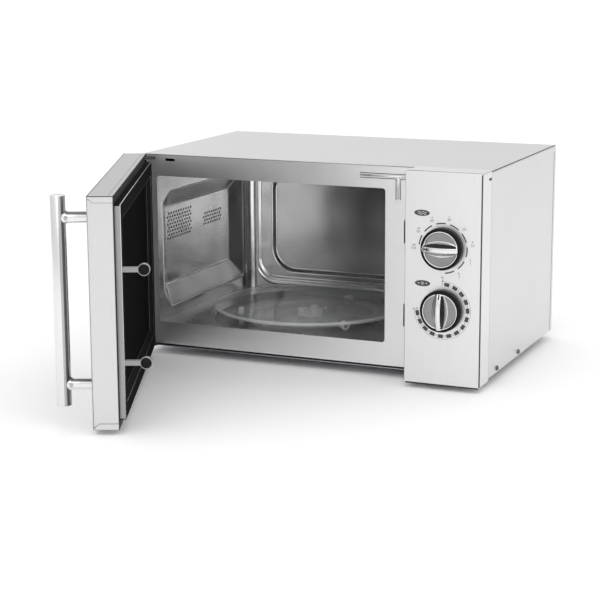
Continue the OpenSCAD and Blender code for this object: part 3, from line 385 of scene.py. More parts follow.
for part in frame["record"]["subparts"]:
    only_finish(frame["nodes"][part["node"]], FINISHES[part["material_slot"]])
# cavity_floor takes the floor finish, darkened as painted shade.
OWN_FINISH = {"cavity_floor": "floor_steel", "cover_screws": "dark_screw", "choke_cover": "choke_black",
              "door_bezel": "bezel_steel", "roller_ring": "ring_plastic"}
for name, chosen in OWN_FINISH.items():
    only_finish(frame["nodes"][name], FINISHES[chosen])
print(len(FINISHES), "finishes")

# %% [markdown]
# Real sheet metal has no perfectly sharp edge: a fold or a cut leaves a radius of a few tenths of a
# millimetre, and that thin line catches the light. The model's parts have sharp edges, so the
# parts that are seen closely get a copy whose flat faces are joined up again, with a small bevel
# on every edge that turns by more than thirty degrees. A bevel modifier is right here because
# the shape itself is already correct, and it leaves the size alone.

# %% Folded and cut edges
FOLDED_EDGE = finish("folded edge steel", 0.16, 0.12, 0.30, 1.0, EVEN, 900, 0.05, 0.1)


def soften(node, width_mm, segments=2):
    """A copy of a part with its doubled points merged, its coplanar faces joined and its edges bevelled."""
    source = frame["nodes"][node]
    work = bmesh.new()
    work.from_mesh(source.data)
    bmesh.ops.remove_doubles(work, verts=work.verts, dist=1e-6)
    bmesh.ops.dissolve_limit(work, angle_limit=math.radians(0.5), verts=work.verts, edges=work.edges)
    mesh = bpy.data.meshes.new(node + "_sheet")
    work.to_mesh(mesh)
    work.free()
    mesh.materials.append(source.data.materials[0])
    mesh.materials.append(FOLDED_EDGE)
    mesh.polygons.foreach_set("use_smooth", [True] * len(mesh.polygons))
    piece = bpy.data.objects.new(node + "_sheet", mesh)
    bpy.context.scene.collection.objects.link(piece)
    bevel = piece.modifiers.new("edge", "BEVEL")
    bevel.width = width_mm * MM
    bevel.segments = segments
    bevel.limit_method = "ANGLE"
    bevel.angle_limit = math.radians(30)
    bevel.material = 1
    even = piece.modifiers.new("flat_faces", "WEIGHTED_NORMAL")
    even.weight = 100
    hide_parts(node)
    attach(piece, source["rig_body"])
    return piece


SOFT_EDGES = {"cover": 0.45, "control_panel": 0.7, "door_bezel": 0.45, "choke_cover": 0.5,
              "face_plate": 0.3, "latch_lever": 0.5, "feet": 0.6, "base_plate": 0.2}
for node, width in SOFT_EDGES.items():
    print("softened", node, len(soften(node, width).data.polygons), "faces")

# %% [markdown]
# The inside of the oven is pressed from thin polished sheet. The left wall has a wide shallow
# pocket with sloping sides that stiffens it, and two fields of small air holes. A pressing like
# that is a height over a flat grid: each slope is a plane, the floor of the pocket is another, and
# the lowest of them wins. Blending them with a soft minimum gives every fold its small radius,
# which is what draws the bright lines.

# %% The pressed left wall
POCKET, CORNER_R = 9.6, 14.0
CORNER_Y = CAVITY_REAR - CORNER_R


def soft_minimum(heights, radius):
    """-radius * log(sum(exp(-h / radius))): close to the lowest height, but rounded where two cross."""
    stack = -np.stack(heights) / radius
    top = stack.max(0)
    return -radius * (top + np.log(np.exp(stack - top).sum(0)))


def pressed_pocket(y, z, depth=POCKET, radius=0.45):
    """Depth of the pocket at (y, z): planes rising from its six rims, cut off at the pocket's floor."""
    rim_y, rim_z = (51.8, 300.0), (58.5, 216.5)
    sides = [(y - rim_y[0]) / 24, (rim_y[1] - y) / 31, (z - rim_z[0]) / 29, (rim_z[1] - z) / 23]
    low_corner = ((y - rim_y[0]) * 26 + (z - rim_z[0]) * 20 - 520) / (32.8 * 20)
    top_corner = ((y - rim_y[0]) * 13 + (rim_z[1] - z) * 22 - 286) / (25.6 * 20)
    rise = [depth * s for s in sides + [low_corner, top_corner]]
    inside = soft_minimum(rise + [np.full_like(y, depth)], radius)
    return np.log1p(np.exp(np.clip(inside / radius, -40, 40))) * radius


ys, zs = np.meshgrid(np.linspace(37.9, CORNER_Y, 230), np.linspace(WALL_FOOT, WALL_TOP, 170), indexing="ij")
left_points = np.stack([CAVITY_LEFT - pressed_pocket(ys, zs), ys, zs], -1)
left_wall = new_piece("pressed_left_wall", from_corner(left_points), grid_faces(*ys.shape))
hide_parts("cavity_left_wall")
dress(left_wall, "cabinet", FINISHES["cavity_steel"])
looks = face_normals(left_wall)
# The pocket's upward-facing slopes take painted shade.
second_finish(left_wall, FINISHES["pocket_painted_shade"], looks[:, 2] * np.copysign(1, looks[:, 0]) > 0.2)
print("left wall", len(left_wall.data.polygons), "faces")

# %% [markdown]
# The air holes are punched in rows, each row set half a pitch from the next. A punched hole in
# thin sheet reads as a small dark disc with a rolled lip, so each one is a shallow cup on the
# pocket's floor. All the cups are one mesh, placed by array arithmetic.

# %% The punched air holes


def hole_rows(y0, z0, rows, count, pitch=7.2, step=4.9):
    """Centres (y, z) of staggered rows: every second row is shifted by half a pitch."""
    row, place = np.meshgrid(np.arange(rows), np.arange(count), indexing="ij")
    return np.stack([y0 + (row % 2) * pitch / 2 + place * pitch, z0 + row * step], -1).reshape(-1, 2)


def punched_cups(name, centres, x, radius=1.7, sides=12):
    """For each centre, a lip ring, an edge ring and a centre point sunk in: a tiny round cup."""
    a = np.linspace(0, 2 * math.pi, sides, endpoint=False)
    rings = [(radius + 0.25, 0.0), (radius, 0.22), (radius * 0.92, 0.05), (0.0, 0.04)]
    cup = np.array([[(h, r * np.cos(t), r * np.sin(t)) for t in a] for r, h in rings])
    points = cup[None] + np.concatenate([np.full((len(centres), 1), x), centres], 1)[:, None, None]
    faces = np.array(grid_faces(len(rings), sides, wrap_columns=True))
    step = len(rings) * sides
    every = (faces[None] + np.arange(len(centres))[:, None, None] * step).reshape(-1, 4)
    return outward(new_piece(name, from_corner(points), every.tolist(), False))


near_door = hole_rows(82.8, 148.5, 8, 10)
near_back = hole_rows(190.8, 152.5, 4, 8)
holes = punched_cups("air_holes", np.concatenate([near_door, near_back]), CAVITY_LEFT - POCKET)
# The cups take black plastic: painted shade for the dark behind each hole.
dress(holes, "cabinet", FINISHES["black_plastic"])
print(len(near_door) + len(near_back), "air holes")

# %% [markdown]
# The back wall and its two rounded upright corners are one bent sheet. Its grid runs along the
# bend: up one quarter circle, straight across, and round the other. On the straight part two
# rounded rectangles are pressed backwards, one inside the other. The distance to a rounded
# rectangle is a short formula, and a smooth step of that distance makes the wall of each pressing.

# %% The pressed back wall


def rounded_box_distance(x, z, half_x, half_z, radius):
    """Signed distance to a rounded rectangle centred at zero: negative inside, zero on its outline."""
    qx, qz = np.abs(x) - (half_x - radius), np.abs(z) - (half_z - radius)
    outside = np.hypot(np.maximum(qx, 0), np.maximum(qz, 0))
    return outside + np.minimum(np.maximum(qx, qz), 0) - radius


def smooth_step(t):
    """3 t^2 - 2 t^3 between 0 and 1."""
    t = np.clip(t, 0, 1)
    return t * t * (3 - 2 * t)


MIDDLE_Z = 143
quarter = np.linspace(0, math.pi / 2, 13)
straight = np.linspace(CAVITY_LEFT + CORNER_R, CAVITY_RIGHT - CORNER_R, 300)[1:-1]
bend_x = np.concatenate([CAVITY_LEFT + CORNER_R * (1 - np.cos(quarter)), straight,
                         CAVITY_RIGHT - CORNER_R * (1 - np.cos(quarter[::-1]))])
bend_y = np.concatenate([CORNER_Y + CORNER_R * np.sin(quarter), 0 * straight + CAVITY_REAR,
                         CORNER_Y + CORNER_R * np.sin(quarter[::-1])])
across, up = np.meshgrid(bend_x, np.linspace(WALL_FOOT, WALL_TOP, 200), indexing="ij")
first = rounded_box_distance(across - TRAY_X, up - MIDDLE_Z, 145.2, 89.5, 30)
second = rounded_box_distance(across - TRAY_X, up - MIDDLE_Z, 124.2, 78.5, 36)
bead = 1.6 * np.exp(-((first - 5.5) / 1.7) ** 2)
depth = (2.4 * smooth_step(-first / 4.5) + 5.4 * smooth_step(-second / 6.0)
         - bead * (np.abs(across - TRAY_X) < 147))
back_points = np.stack([across, bend_y[:, None] + depth, up], -1)
# An open sheet has no outside for Blender to find, so its winding is chosen: columns run to the
# right and rows upwards, and its faces look at the door.
back_wall = new_piece("pressed_back_wall", from_corner(back_points), grid_faces(*across.shape))
if face_normals(back_wall)[:, 1].sum() > 0:
    back_wall.data.flip_normals()
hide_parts("cavity_back")
dress(back_wall, "cabinet", FINISHES["back_steel"])
print("back wall", len(back_wall.data.polygons), "faces")

# %% [markdown]
# The tray is pressed glass: a flat disc with a shallow rolled rim, and three lugs underneath that
# the coupler turns. It is a solid of revolution, so its cross-section is spun about the middle.
# It is see-through by its Alpha. Glass that bends the light is truer, but it came out dark here.
# The rim's curve is a half circle of points, because a glass edge is fire-polished round.

# %% The glass tray
rim = [(135.0 - 2.2 + 2.2 * math.sin(t), 7.5 - 2.2 + 2.2 * math.cos(t)) for t in np.linspace(0.0, math.pi, 14)]
tray_profile = ([(0.0, 3.5), (60, 3.5), (116.5, 3.5), (119, 3.8), (122, 4.7), (128, 6.9), (130.5, 7.5)]
                + rim + [(130, 3.6), (122, 1.0), (119, 0.2), (117.5, 0.0), (60, 0.0), (0.0, 0.0)])
tray = round_piece("clear_tray", lathe(tray_profile, (TRAY_X, TRAY_Y, TRAY_Z), "z", 160))
for turn in range(3):
    a = math.radians(30 + 120 * turn)
    lug = lathe([(0, -3), (2.4, -3), (3, -2.4), (3, 0.3), (0, 0.3)],
                (TRAY_X + 19 * math.cos(a), TRAY_Y + 19 * math.sin(a), TRAY_Z), "z", 20)
    tray = join("clear_tray", [tray, round_piece("lug", lug)], "tray", FINISHES["tray_glass"])
away = face_middles(tray) - [TRAY_X, TRAY_Y, TRAY_Z]
# The rim and the lugs take the painted highlight.
second_finish(tray, FINISHES["tray_rim_painted_highlight"], (np.hypot(away[:, 0], away[:, 1]) > 130.5) | (away[:, 2] < -0.1))
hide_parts("glass_tray")
print("tray", len(tray.data.polygons), "faces")

# %% [markdown]
# A dial knob of this sort is a die-cast disc. A grip runs straight across it, full height in the
# middle, with hollow flanks that end on two curved lines. On each side of the grip the face is
# sunk inside a bright ring. Seen from the front it is a height over a disc, so it is built on
# rings and spokes. The dark skirt behind it is a plain turned ring.

# %% The knobs
GRIP_TOP, GRIP_END, FLANK = 2.7, 24.0, 6.6


def grip_half_width(z):
    """Half the width of the grip's flanks at z: 3.4 at the ends and 10 in the middle."""
    return 3.4 + FLANK * (1 - (z / GRIP_END) ** 2)


def knob_height(x, z):
    """Height of the face: sunk floor, raised ring, and a grip whose flanks curve down to the floor."""
    r = np.hypot(x, z)
    ring = 2.6 * smooth_step((r - 20.3) / 0.8) * smooth_step((22.5 - r) / 0.7 + 0.3)
    floor_height = 8.6 - 0.9 * np.cos(np.clip(r / 21, 0, 1) * math.pi / 2) + ring
    half = grip_half_width(z)
    t = np.clip((np.abs(x) - GRIP_TOP) / (half - GRIP_TOP), 0, 1)
    crest = 18.8 - 5.2 * (np.abs(z) / GRIP_END) ** 2.4
    flank = floor_height + 0.6 + (crest - floor_height - 0.6) * (1 - t) ** 1.9
    crown = crest - 0.35 * (x / GRIP_TOP) ** 2
    grip = np.where(np.abs(x) < GRIP_TOP, crown, flank)
    lens = smooth_step((half + 0.5 - np.abs(x)) / 0.5)
    return floor_height + (grip - floor_height) * lens


def knob_face(name, centre, turned):
    """Rings and spokes of (x, height, z), the rim carried back to the skirt, turned clockwise by turned."""
    r = np.concatenate([np.linspace(0.02, 22.4, 78), [22.6, 22.6]])
    a = np.linspace(0, 2 * math.pi, 180, endpoint=False)
    x, z = r[:, None] * np.sin(a), r[:, None] * np.cos(a)
    h = knob_height(x, z)
    h[-2], h[-1] = h[-3] - 0.3, 5.0
    mark = (np.abs(x) < 0.9) & (z > 15.5) & (z < 22.0)
    h = np.where(mark, h - 0.9, h)
    x, z = turn_pair(x, z, turned)
    return round_piece(name, np.stack([x, -h, z], -1) + centre)


SKIRT = [(0, 1.6), (25.2, 1.6), (26, 2.4), (26, 5.2), (25.8, 9.0), (25.1, 10.4), (23.3, 11.0),
         (22.8, 10.7), (22.7, 5.2), (0, 5.2)]
chrome = FINISHES["knob_chrome"]
for name, height, turned, body in (("power", POWER_Z, -math.pi / 2, "power_dial"),
                                   ("timer", TIMER_Z, 0.0, "timer_dial")):
    centre = np.array([DIAL_X, 0.0, height])
    face = dress(knob_face(name + "_knob_face", centre, turned), body, chrome)
    dress(round_piece(name + "_knob_skirt", lathe(SKIRT, centre, "-y", 128)), body, FINISHES["black_gloss"])
    middles = face_middles(face) - centre
    across, along = turn_pair(middles[:, 0], middles[:, 2], -turned)
    out, lens = np.hypot(across, along), grip_half_width(along)
    # sunk picks each knob's face inside its ring, which takes painted shade.
    sunk = (out < 20.7) & ((np.abs(across) > lens - 0.2) | ((across > 2.9) & (across < lens - 1.0)))
    # hollow picks the flank on one side of the grip, which takes painted shade.
    hollow = (out < 21.2) & (across > 2.9) & (across < 2.9 + 0.55 * (lens - 2.9))
    second_finish(face, FINISHES["knob_face"], sunk)
    second_finish(face, FINISHES["knob_painted_shade"], hollow)
    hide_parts(name + "_knob")
    dash = np.array([[-0.7, 16.0], [0.7, 16.0], [0.7, 21.8], [-0.7, 21.8]])
    level = -(knob_height(dash[:, 0], dash[:, 1]) - 0.55)
    x, z = turn_pair(dash[:, 0], dash[:, 1], turned)
    flat = np.stack([x, level, z], -1) + centre
    dress(new_piece(name + "_pointer", from_corner(flat), [(0, 1, 2, 3)], False), body, FINISHES["black_plastic"])
print("knobs made")

# %% [markdown]
# The front panel carries two printed scales and two small oval badges. A real panel is screen
# printed, so each print is a film a few hundredths of a millimetre thick. It could be painted into
# the panel's material, but sharp small figures need geometry: each dash, ring and figure is a flat
# outline lying just proud of the steel. Figures come from Blender's own font, turned into a mesh
# before they are placed. Only plain numbers and simple signs are used.

# %% Outlines for the prints


def arc_dash(height, inner, outer, start, end, count=10):
    """The outline between two radii and two clock angles, in degrees clockwise from twelve."""
    a = np.radians(np.linspace(start, end, count))
    there = np.stack([outer * np.sin(a), outer * np.cos(a)], 1)
    back = np.stack([inner * np.sin(a), inner * np.cos(a)], 1)[::-1]
    return np.concatenate([there, back]) + [DIAL_X, height]


def arc_band(height, inner, outer, start, end, count):
    """A long dash cut into short ones, so that every outline stays close to a rectangle."""
    stops = np.linspace(start, end, count + 1)
    return [arc_dash(height, inner, outer, a, b, 3) for a, b in zip(stops[:-1], stops[1:])]


def at_clock(height, radius, clock):
    """The point (x, z) at a radius and a clock angle about a dial."""
    a = math.radians(clock)
    return np.array([DIAL_X + radius * math.sin(a), height + radius * math.cos(a)])


def lettering(text, place, size):
    """Flat outlines of a short generic text, centred at place."""
    curve = bpy.data.curves.new("figure", "FONT")
    curve.body, curve.size, curve.resolution_u = text, size, 3
    curve.align_x = curve.align_y = "CENTER"
    thing = bpy.data.objects.new("figure", curve)
    mesh = bpy.data.meshes.new_from_object(thing)
    flat = [np.array([mesh.vertices[v].co[:2] for v in p.vertices]) + place for p in mesh.polygons]
    bpy.data.objects.remove(thing)
    bpy.data.meshes.remove(mesh)
    bpy.data.curves.remove(curve)
    return flat


def bars(place, heights, width=0.6, pitch=1.0):
    """A row of upright bars of the given heights, as on a level sign."""
    x0, z0 = place[0] - pitch * (len(heights) - 1) / 2, place[1] - 1.3
    return [np.array([[x0 + i * pitch - width / 2, z0], [x0 + i * pitch + width / 2, z0],
                      [x0 + i * pitch + width / 2, z0 + h], [x0 + i * pitch - width / 2, z0 + h]])
            for i, h in enumerate(heights)]


def spokes(place, radius, count, width=0.35):
    """Thin bars through one point, as a frost sign."""
    a = np.arange(count) * math.pi / count
    along, side = np.stack([np.cos(a), np.sin(a)], 1), np.stack([-np.sin(a), np.cos(a)], 1)
    return [place + np.array([-radius * u - width * v / 2, radius * u - width * v / 2,
                              radius * u + width * v / 2, -radius * u + width * v / 2])
            for u, v in zip(along, side)]


def flat_print(name, outlines, material, proud=0.06):
    """One thin film from many outlines (x, z), each wound so that it faces the front."""
    points, faces = [], []
    for outline in outlines:
        x, z = outline[:, 0], outline[:, 1]
        if (x * np.roll(z, -1) - z * np.roll(x, -1)).sum() < 0:
            outline = outline[::-1]
        faces.append(tuple(range(len(points), len(points) + len(outline))))
        points += [(a, -proud, b) for a, b in outline]
    return dress(new_piece(name, from_corner(points), faces, False), "cabinet", material)


dark_ink = finish("dark printing ink", 0.045, 0.06, 0.45, 0.0, EVEN, 900, 0.05, 0.1)
pale_ink = finish("pale printing ink", 0.15, 0.18, 0.45, 0.0, EVEN, 900, 0.05, 0.1)
white_ink = finish("white printing ink", 0.85, 0.8, 0.45, 0.0, EVEN, 900, 0.05, 0.1)
print("inks ready")

# %% [markdown]
# The power dial has nine stops, thirty-three and three quarter degrees apart, each with a small
# level sign and a number. The timer's steps are shorter at first and longer later, so its numbers
# stand at even angles but count unevenly, with a dash between each two.

# %% The two scales
POWER_STEPS = ["100", "80", "60", "40", "20", "10", "1", "2", "3"]
power_dashes, signs = [], []
for step, label in enumerate(POWER_STEPS):
    clock = -90 + 33.75 * step
    if step < 8:
        power_dashes.append(arc_dash(POWER_Z, 29.8, 31.4, clock + 5.5, clock + 28.2))
    spot = at_clock(POWER_Z, 38.0, clock) + [0, 2.4]
    if step < 5:
        signs += bars(spot, 0.8 + 0.45 * np.arange(5 - step))
    elif step == 5:
        signs += spokes(spot, 1.4, 3)
    else:
        signs += bars(spot, [2.4] + [1.0] * (step - 5))
    signs += lettering(label, spot - [0, 4.4], 4.7)

MINUTES = [0, 1, 2, 3, 4, 5, 6, 8, 10, 12, 15, 20, 25, 30, 35]
TIMER_STEP = 270 / 14
timer_dashes, figures = [], []
for step, minutes in enumerate(MINUTES):
    clock = TIMER_STEP * step
    if step < 14:
        timer_dashes.append(arc_dash(TIMER_Z, 30.3, 34.9, clock + 3.9, clock + TIMER_STEP - 3.9, 5))
    figures += lettering(str(minutes), at_clock(TIMER_Z, 32.6, clock), 3.9)
outer_arc = arc_band(TIMER_Z, 36.1, 36.45, 1.5, 268.5, 72)
figures += bars(at_clock(TIMER_Z, 36.6, 0), [1.6, 1.6]) + bars(at_clock(TIMER_Z, 36.8, 270), [1.4, 1.4, 1.4])
flat_print("power_scale", power_dashes, dark_ink)
flat_print("timer_scale", timer_dashes, dark_ink)
flat_print("power_signs", signs, pale_ink)
flat_print("timer_figures", figures, dark_ink)
flat_print("timer_arc", outer_arc, pale_ink)
print(len(signs) + len(figures), "printed signs and figures")

# %% [markdown]
# The badges say what each dial is for. Here they are plain signs: waves for the power dial and a
# clock face for the timer.

# %% The two badges


def oval(place, half_x, half_z, count=40):
    """Points of an ellipse about place."""
    a = np.linspace(0, 2 * math.pi, count, endpoint=False)
    return np.stack([half_x * np.cos(a), half_z * np.sin(a)], 1) + place


def wave_line(place, length, swing, width, count=24):
    """A thin sine ribbon as short quads."""
    t = np.linspace(-0.5, 0.5, count)
    mid = np.stack([t * length, swing * np.sin(t * 4 * math.pi)], 1) + place
    return [np.array([mid[i] - [0, width], mid[i + 1] - [0, width], mid[i + 1] + [0, width], mid[i] + [0, width]])
            for i in range(count - 1)]


power_badge, timer_badge = np.array([406.7, 220.0]), np.array([408.2, 133.0])
flat_print("badge_ovals", [oval(power_badge, 10, 3.8), oval(timer_badge, 10, 3.8)], dark_ink)
badge_signs = wave_line(power_badge + [0, 1.1], 11, 0.7, 0.28) + wave_line(power_badge - [0, 1.1], 11, 0.7, 0.28)
for side in (-5.0, 5.0):
    badge_signs += [oval(timer_badge + [side, 0], 0.8, 0.8, 12)]
badge_signs += spokes(timer_badge, 2.4, 6, 0.3) + [oval(timer_badge, 1.2, 1.2, 20)]
flat_print("badge_signs", badge_signs, white_ink, 0.1)
print("badges printed")

# %% [markdown]
# Folded sheet ends in a line: the light turns sharply at each bend and each joint has a dark gap.
# A bevel of the sheet's own thickness is too fine to show from a few steps away, so the bends that
# read as lines are given a thin rounded bead, half sunk in the metal. The dark beads are painted
# shade and the bright ones painted highlights at a fold; none is a part of the oven. Each bead is a
# closed prism between two points.

# %% Lines along the folds


def fold_line(points, radius, sides=8):
    """Closed round bars along each stretch of a path; their axes lie on the fold itself."""
    a = np.linspace(0, 2 * math.pi, sides, endpoint=False)
    bars_made = []
    for start, end in zip(np.asarray(points[:-1], float), np.asarray(points[1:], float)):
        ahead = (end - start) / np.linalg.norm(end - start)
        other = np.array([0, 0, 1.0]) if abs(ahead[2]) < 0.9 else np.array([1.0, 0, 0])
        side = np.cross(ahead, other)
        side /= np.linalg.norm(side)
        up = np.cross(side, ahead)
        ring = radius * (np.cos(a)[:, None] * side + np.sin(a)[:, None] * up)
        bars_made.append(np.stack([start + 0 * ring, start + ring, end + ring, end + 0 * ring]))
    return bars_made


def line_work(name, paths, radius, body, material, placed=from_corner):
    """All the fold lines of one kind as one piece."""
    stacks = [bar for path in paths for bar in fold_line(path, radius)]
    sides = stacks[0].shape[1]
    base = np.array(grid_faces(4, sides, wrap_columns=True))
    faces = (base[None] + 4 * sides * np.arange(len(stacks))[:, None, None]).reshape(-1, 4)
    piece = new_piece(name, placed(np.array(stacks)), faces.tolist())
    return dress(outward(piece), body, material)


DROP_Z, TOP_Z, COVER_TOP, STEP_Y = 6.0, 271.5, 270.0, 37.0
# Painted shade: the dark beads along the folds and edges.
painted_fold_shade = finish("painted shade at folds", 0.035, 0.05, 0.50, 0.0, EVEN, 800, 0.05, 0.1, Specular_IOR_Level=0.1)
# A mid grey line: painted shade on the bright steel, and a painted highlight on the black door parts and hook heads.
painted_faint_line = finish("painted faint line", 0.38, 0.34, 0.35, 0.8, EVEN, 800, 0.05, 0.1)
# Painted highlight: the bright beads along the choke cover and the face plate's bead.
painted_fold_highlight = finish("painted highlight at folds", 0.85, 0.78, 0.22, 1.0, EVEN, 800, 0.05, 0.1)
panel_lines = [[(BODY_W - 0.8, 0.8, DROP_Z + 2), (BODY_W - 0.8, 0.8, TOP_Z - 2)],
               [(PANEL_X + 2, 0.3, DROP_Z + 0.3), (BODY_W - 2, 0.3, DROP_Z + 0.3)]]
panel_faint = [[(PANEL_X + 2, 0.3, TOP_Z - 0.3), (BODY_W - 2, 0.3, TOP_Z - 0.3)],
               [(PANEL_X + 0.3, 0.3, DROP_Z + 2), (PANEL_X + 0.3, 0.3, TOP_Z - 2)],
               [(BODY_W - 0.3, STEP_Y - 0.5, 12), (BODY_W - 0.3, STEP_Y - 0.5, COVER_TOP - 3)]]
cover_lines = [[(BODY_W - 0.9, STEP_Y, COVER_TOP - 0.9), (BODY_W - 0.9, BODY_D - 1, COVER_TOP - 0.9)],
               [(BODY_W - 0.3, BODY_D - 9, 12), (BODY_W - 0.3, BODY_D - 9, COVER_TOP - 9)]]
cover_faint = [[(2, BODY_D - 9, COVER_TOP - 0.3), (BODY_W - 3, BODY_D - 9, COVER_TOP - 0.3)],
               [(2, STEP_Y + 0.2, COVER_TOP - 0.2), (PANEL_X, STEP_Y + 0.2, COVER_TOP - 0.2)],
               [(0.9, STEP_Y, COVER_TOP - 0.9), (0.9, BODY_D - 9, COVER_TOP - 0.9)]]
for name, paths, radius, material in (("panel_edge_lines", panel_lines, 1.05, painted_fold_shade),
                                      ("panel_faint_lines", panel_faint, 0.40, painted_faint_line),
                                      ("cover_edge_lines", cover_lines, 0.55, painted_fold_shade),
                                      ("cover_faint_lines", cover_faint, 0.45, painted_faint_line)):
    line_work(name, paths, radius, "cabinet", material)


DOOR_L, DOOR_R, BEZEL_Y = 1.0, 383.0, 29.5
door_lines = [[(DOOR_L, 0.2, TOP_Z - 0.2), (DOOR_R, 0.2, TOP_Z - 0.2)],
              [(DOOR_L, BEZEL_Y - 0.3, TOP_Z - 0.2), (DOOR_R, BEZEL_Y - 0.3, TOP_Z - 0.2)],
              [(DOOR_R - 0.2, 0.2, TOP_Z - 0.2), (DOOR_R - 0.2, BEZEL_Y, TOP_Z - 0.2)],
              [(DOOR_R - 0.2, BEZEL_Y - 0.3, DROP_Z), (DOOR_R - 0.2, BEZEL_Y - 0.3, TOP_Z)]]
door_faint = [[(DOOR_L + 8, BEZEL_Y - 6, TOP_Z), (DOOR_R - 6, BEZEL_Y - 6, TOP_Z)],
              [(DOOR_R - 0.3, 0.2, DROP_Z), (DOOR_R - 0.3, 0.2, TOP_Z)],
              [(DOOR_R - 0.6, 1, TOP_Z - 2.5), (DOOR_R - 0.6, 7, TOP_Z - 7.2), (DOOR_R - 0.6, BEZEL_Y, TOP_Z - 7.2)],
              [(DOOR_R - 0.6, 1, DROP_Z + 2.5), (DOOR_R - 0.6, 7, DROP_Z + 7.2), (DOOR_R - 0.6, BEZEL_Y, DROP_Z + 7.2)],
              [(DOOR_R - 0.2, 0.2, DROP_Z + 0.3), (DOOR_R - 0.2, BEZEL_Y, DROP_Z + 0.3)]]
choke = [(7.3, 261.2), (376.7, 261.2), (376.7, 16.3), (7.3, 16.3)]
window = [(24.0, 244.5), (360.0, 244.5), (360.0, 33.0), (24.0, 33.0)]
choke_lines = [[(x, 36.1, z) for x, z in choke + choke[:1]], [(x, 36.1, z) for x, z in window + window[:1]]]
line_work("door_edge_lines", door_lines, 0.5, "door", painted_fold_shade, from_open_door)
line_work("door_faint_lines", door_faint, 0.4, "door", painted_faint_line, from_open_door)
line_work("choke_edge_lines", choke_lines[:1], 0.42, "door", painted_fold_highlight, from_open_door)
line_work("choke_window_lines", choke_lines[1:], 0.40, "door", painted_faint_line, from_open_door)
rim_path = [(22.2, 71.8, 58.5), (22.3, 300, 58.5), (22.3, 300, 216.5), (22.3, 73.8, 216.5), (22.3, 51.8, 203.5),
            (22.3, 51.8, 84.5), (22.3, 71.8, 58.5)]
flat_path = [(13.3, 75.8, 87.5), (13.3, 269, 87.5), (13.3, 269, 193.5), (13.3, 75.8, 193.5)]
slopes = [[(22.3, 300, 58.5), (13.3, 269, 87.5)], [(22.3, 300, 216.5), (13.3, 269, 193.5)],
          [(22.3, 71.8, 58.5), (13.3, 75.8, 87.5)]]
# Painted highlights along the pocket's creases.
pocket_fold_highlight = finish("painted highlight on pocket folds", 0.8, 0.72, 0.45, 0.25, EVEN, 700, 0.05, 0.1)
line_work("pocket_fold_lines", [rim_path, flat_path] + slopes, 0.62, "cabinet", pocket_fold_highlight)

bead_z, bead_l, bead_r, bead_x = 257.0, 311.0, 384.6, 362.0


def on_face(path, y):
    """A path of (x, z) drawn on the face plate at a depth y."""
    return [(x, y, z) for x, z in path]


left, right, foot = bead_x - 3, bead_x + 3, bead_z - 29
bead_outline = [[(bead_l, bead_z + 3), (bead_r, bead_z + 3)], [(bead_l, bead_z - 3), (left, bead_z - 3)],
                [(left, bead_z - 3), (left, foot)], [(right, bead_z - 3), (right, foot)],
                [(right, bead_z - 3), (bead_r, bead_z - 3)]]
line_work("bead_shade", [on_face(path, 37.05) for path in bead_outline], 0.45, "cabinet", painted_fold_shade)
bead_light = [[(bead_l, bead_z), (bead_r, bead_z)], [(bead_x, bead_z), (bead_x, bead_z - 28)]]
line_work("bead_light", [on_face(path, 37.75) for path in bead_light], 1.1, "cabinet", painted_fold_highlight)
print("fold lines drawn")

# %% [markdown]
# The handle is a polished bar with slightly domed ends on two standoffs. Each standoff flares a
# little where it is welded to the bar. Both are turned shapes, so both are profiles spun about an
# axis, and the whole handle is one mesh that swings with the door. Its side is painted in two
# darker bands by the way each face looks: painted shade, for the dark reflection of the door that
# a real polished bar shows.

# %% The handle
BAR_X, BAR_R, BAR_LOW, BAR_HIGH, BAR_OFF, STAND_R = 353.0, 8.5, 26.5, 270.0, 36.0, 6.75
dome = [(BAR_R * math.sin(t), 1.5 * math.cos(t)) for t in np.linspace(0, math.pi / 2, 7)]
bar_profile = ([(r, BAR_HIGH - 1.5 + h) for r, h in dome] + [(BAR_R, BAR_LOW + 1.5)]
               + [(r, BAR_LOW + 1.5 - h) for r, h in dome[::-1][1:]])
handle_points = [on_open_door(lathe(bar_profile, (BAR_X, -BAR_OFF, 0), "z", 72))]
stand_profile = [(0, 0.1), (STAND_R + 0.9, 0.1), (STAND_R + 0.9, 0.7), (STAND_R, 1.3), (STAND_R, 24.5),
                 (STAND_R + 0.5, 26.6), (STAND_R + 1.4, 28.4), (STAND_R, 34), (0, 34)]
for height in (52.5, 244.0):
    handle_points.append(on_open_door(lathe(stand_profile, (BAR_X, 0, height), "-y", 56)))
pieces = [round_piece("handle_piece", points) for points in handle_points]
handle = join("turned_handle", pieces, "door", FINISHES["handle_steel"])
looks = face_normals(handle)
around_bar = np.degrees(np.arctan2(looks[:, 1], looks[:, 0]) + DOOR_OPEN)
upright = np.abs(looks[:, 2]) < 0.3
# under_end picks the faces under the bar's upper end; they and the shaded band take painted shade.
under_end = ~upright & (looks[:, 2] > 0.55) & (looks[:, 2] < 0.95) & (face_middles(handle)[:, 2] < 260)
shaded = (upright & (around_bar > 30) & (around_bar < 56)) | under_end
second_finish(handle, FINISHES["handle_painted_shade"], shaded)
second_finish(handle, FINISHES["handle_painted_half_shade"], upright & (around_bar > 8) & (around_bar < 82) & ~shaded)
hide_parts("door_handle")
print("handle", len(handle.data.polygons), "faces")

# %% [markdown]
# The two latch hooks are pale arms with black round heads, so each head gets a turned cap with a
# bright rim; the rim is a painted highlight. The bezel is steel outside and black inside, and its
# top faces take a darker steel, painted shade. It is one part, so its inner and top faces are
# picked by place: the middle of each face is turned back to the shut door, where a few plain
# limits tell inside from outside. The choke cover's free edge takes a painted highlight too.

# %% Hook heads, and black paint inside the bezel


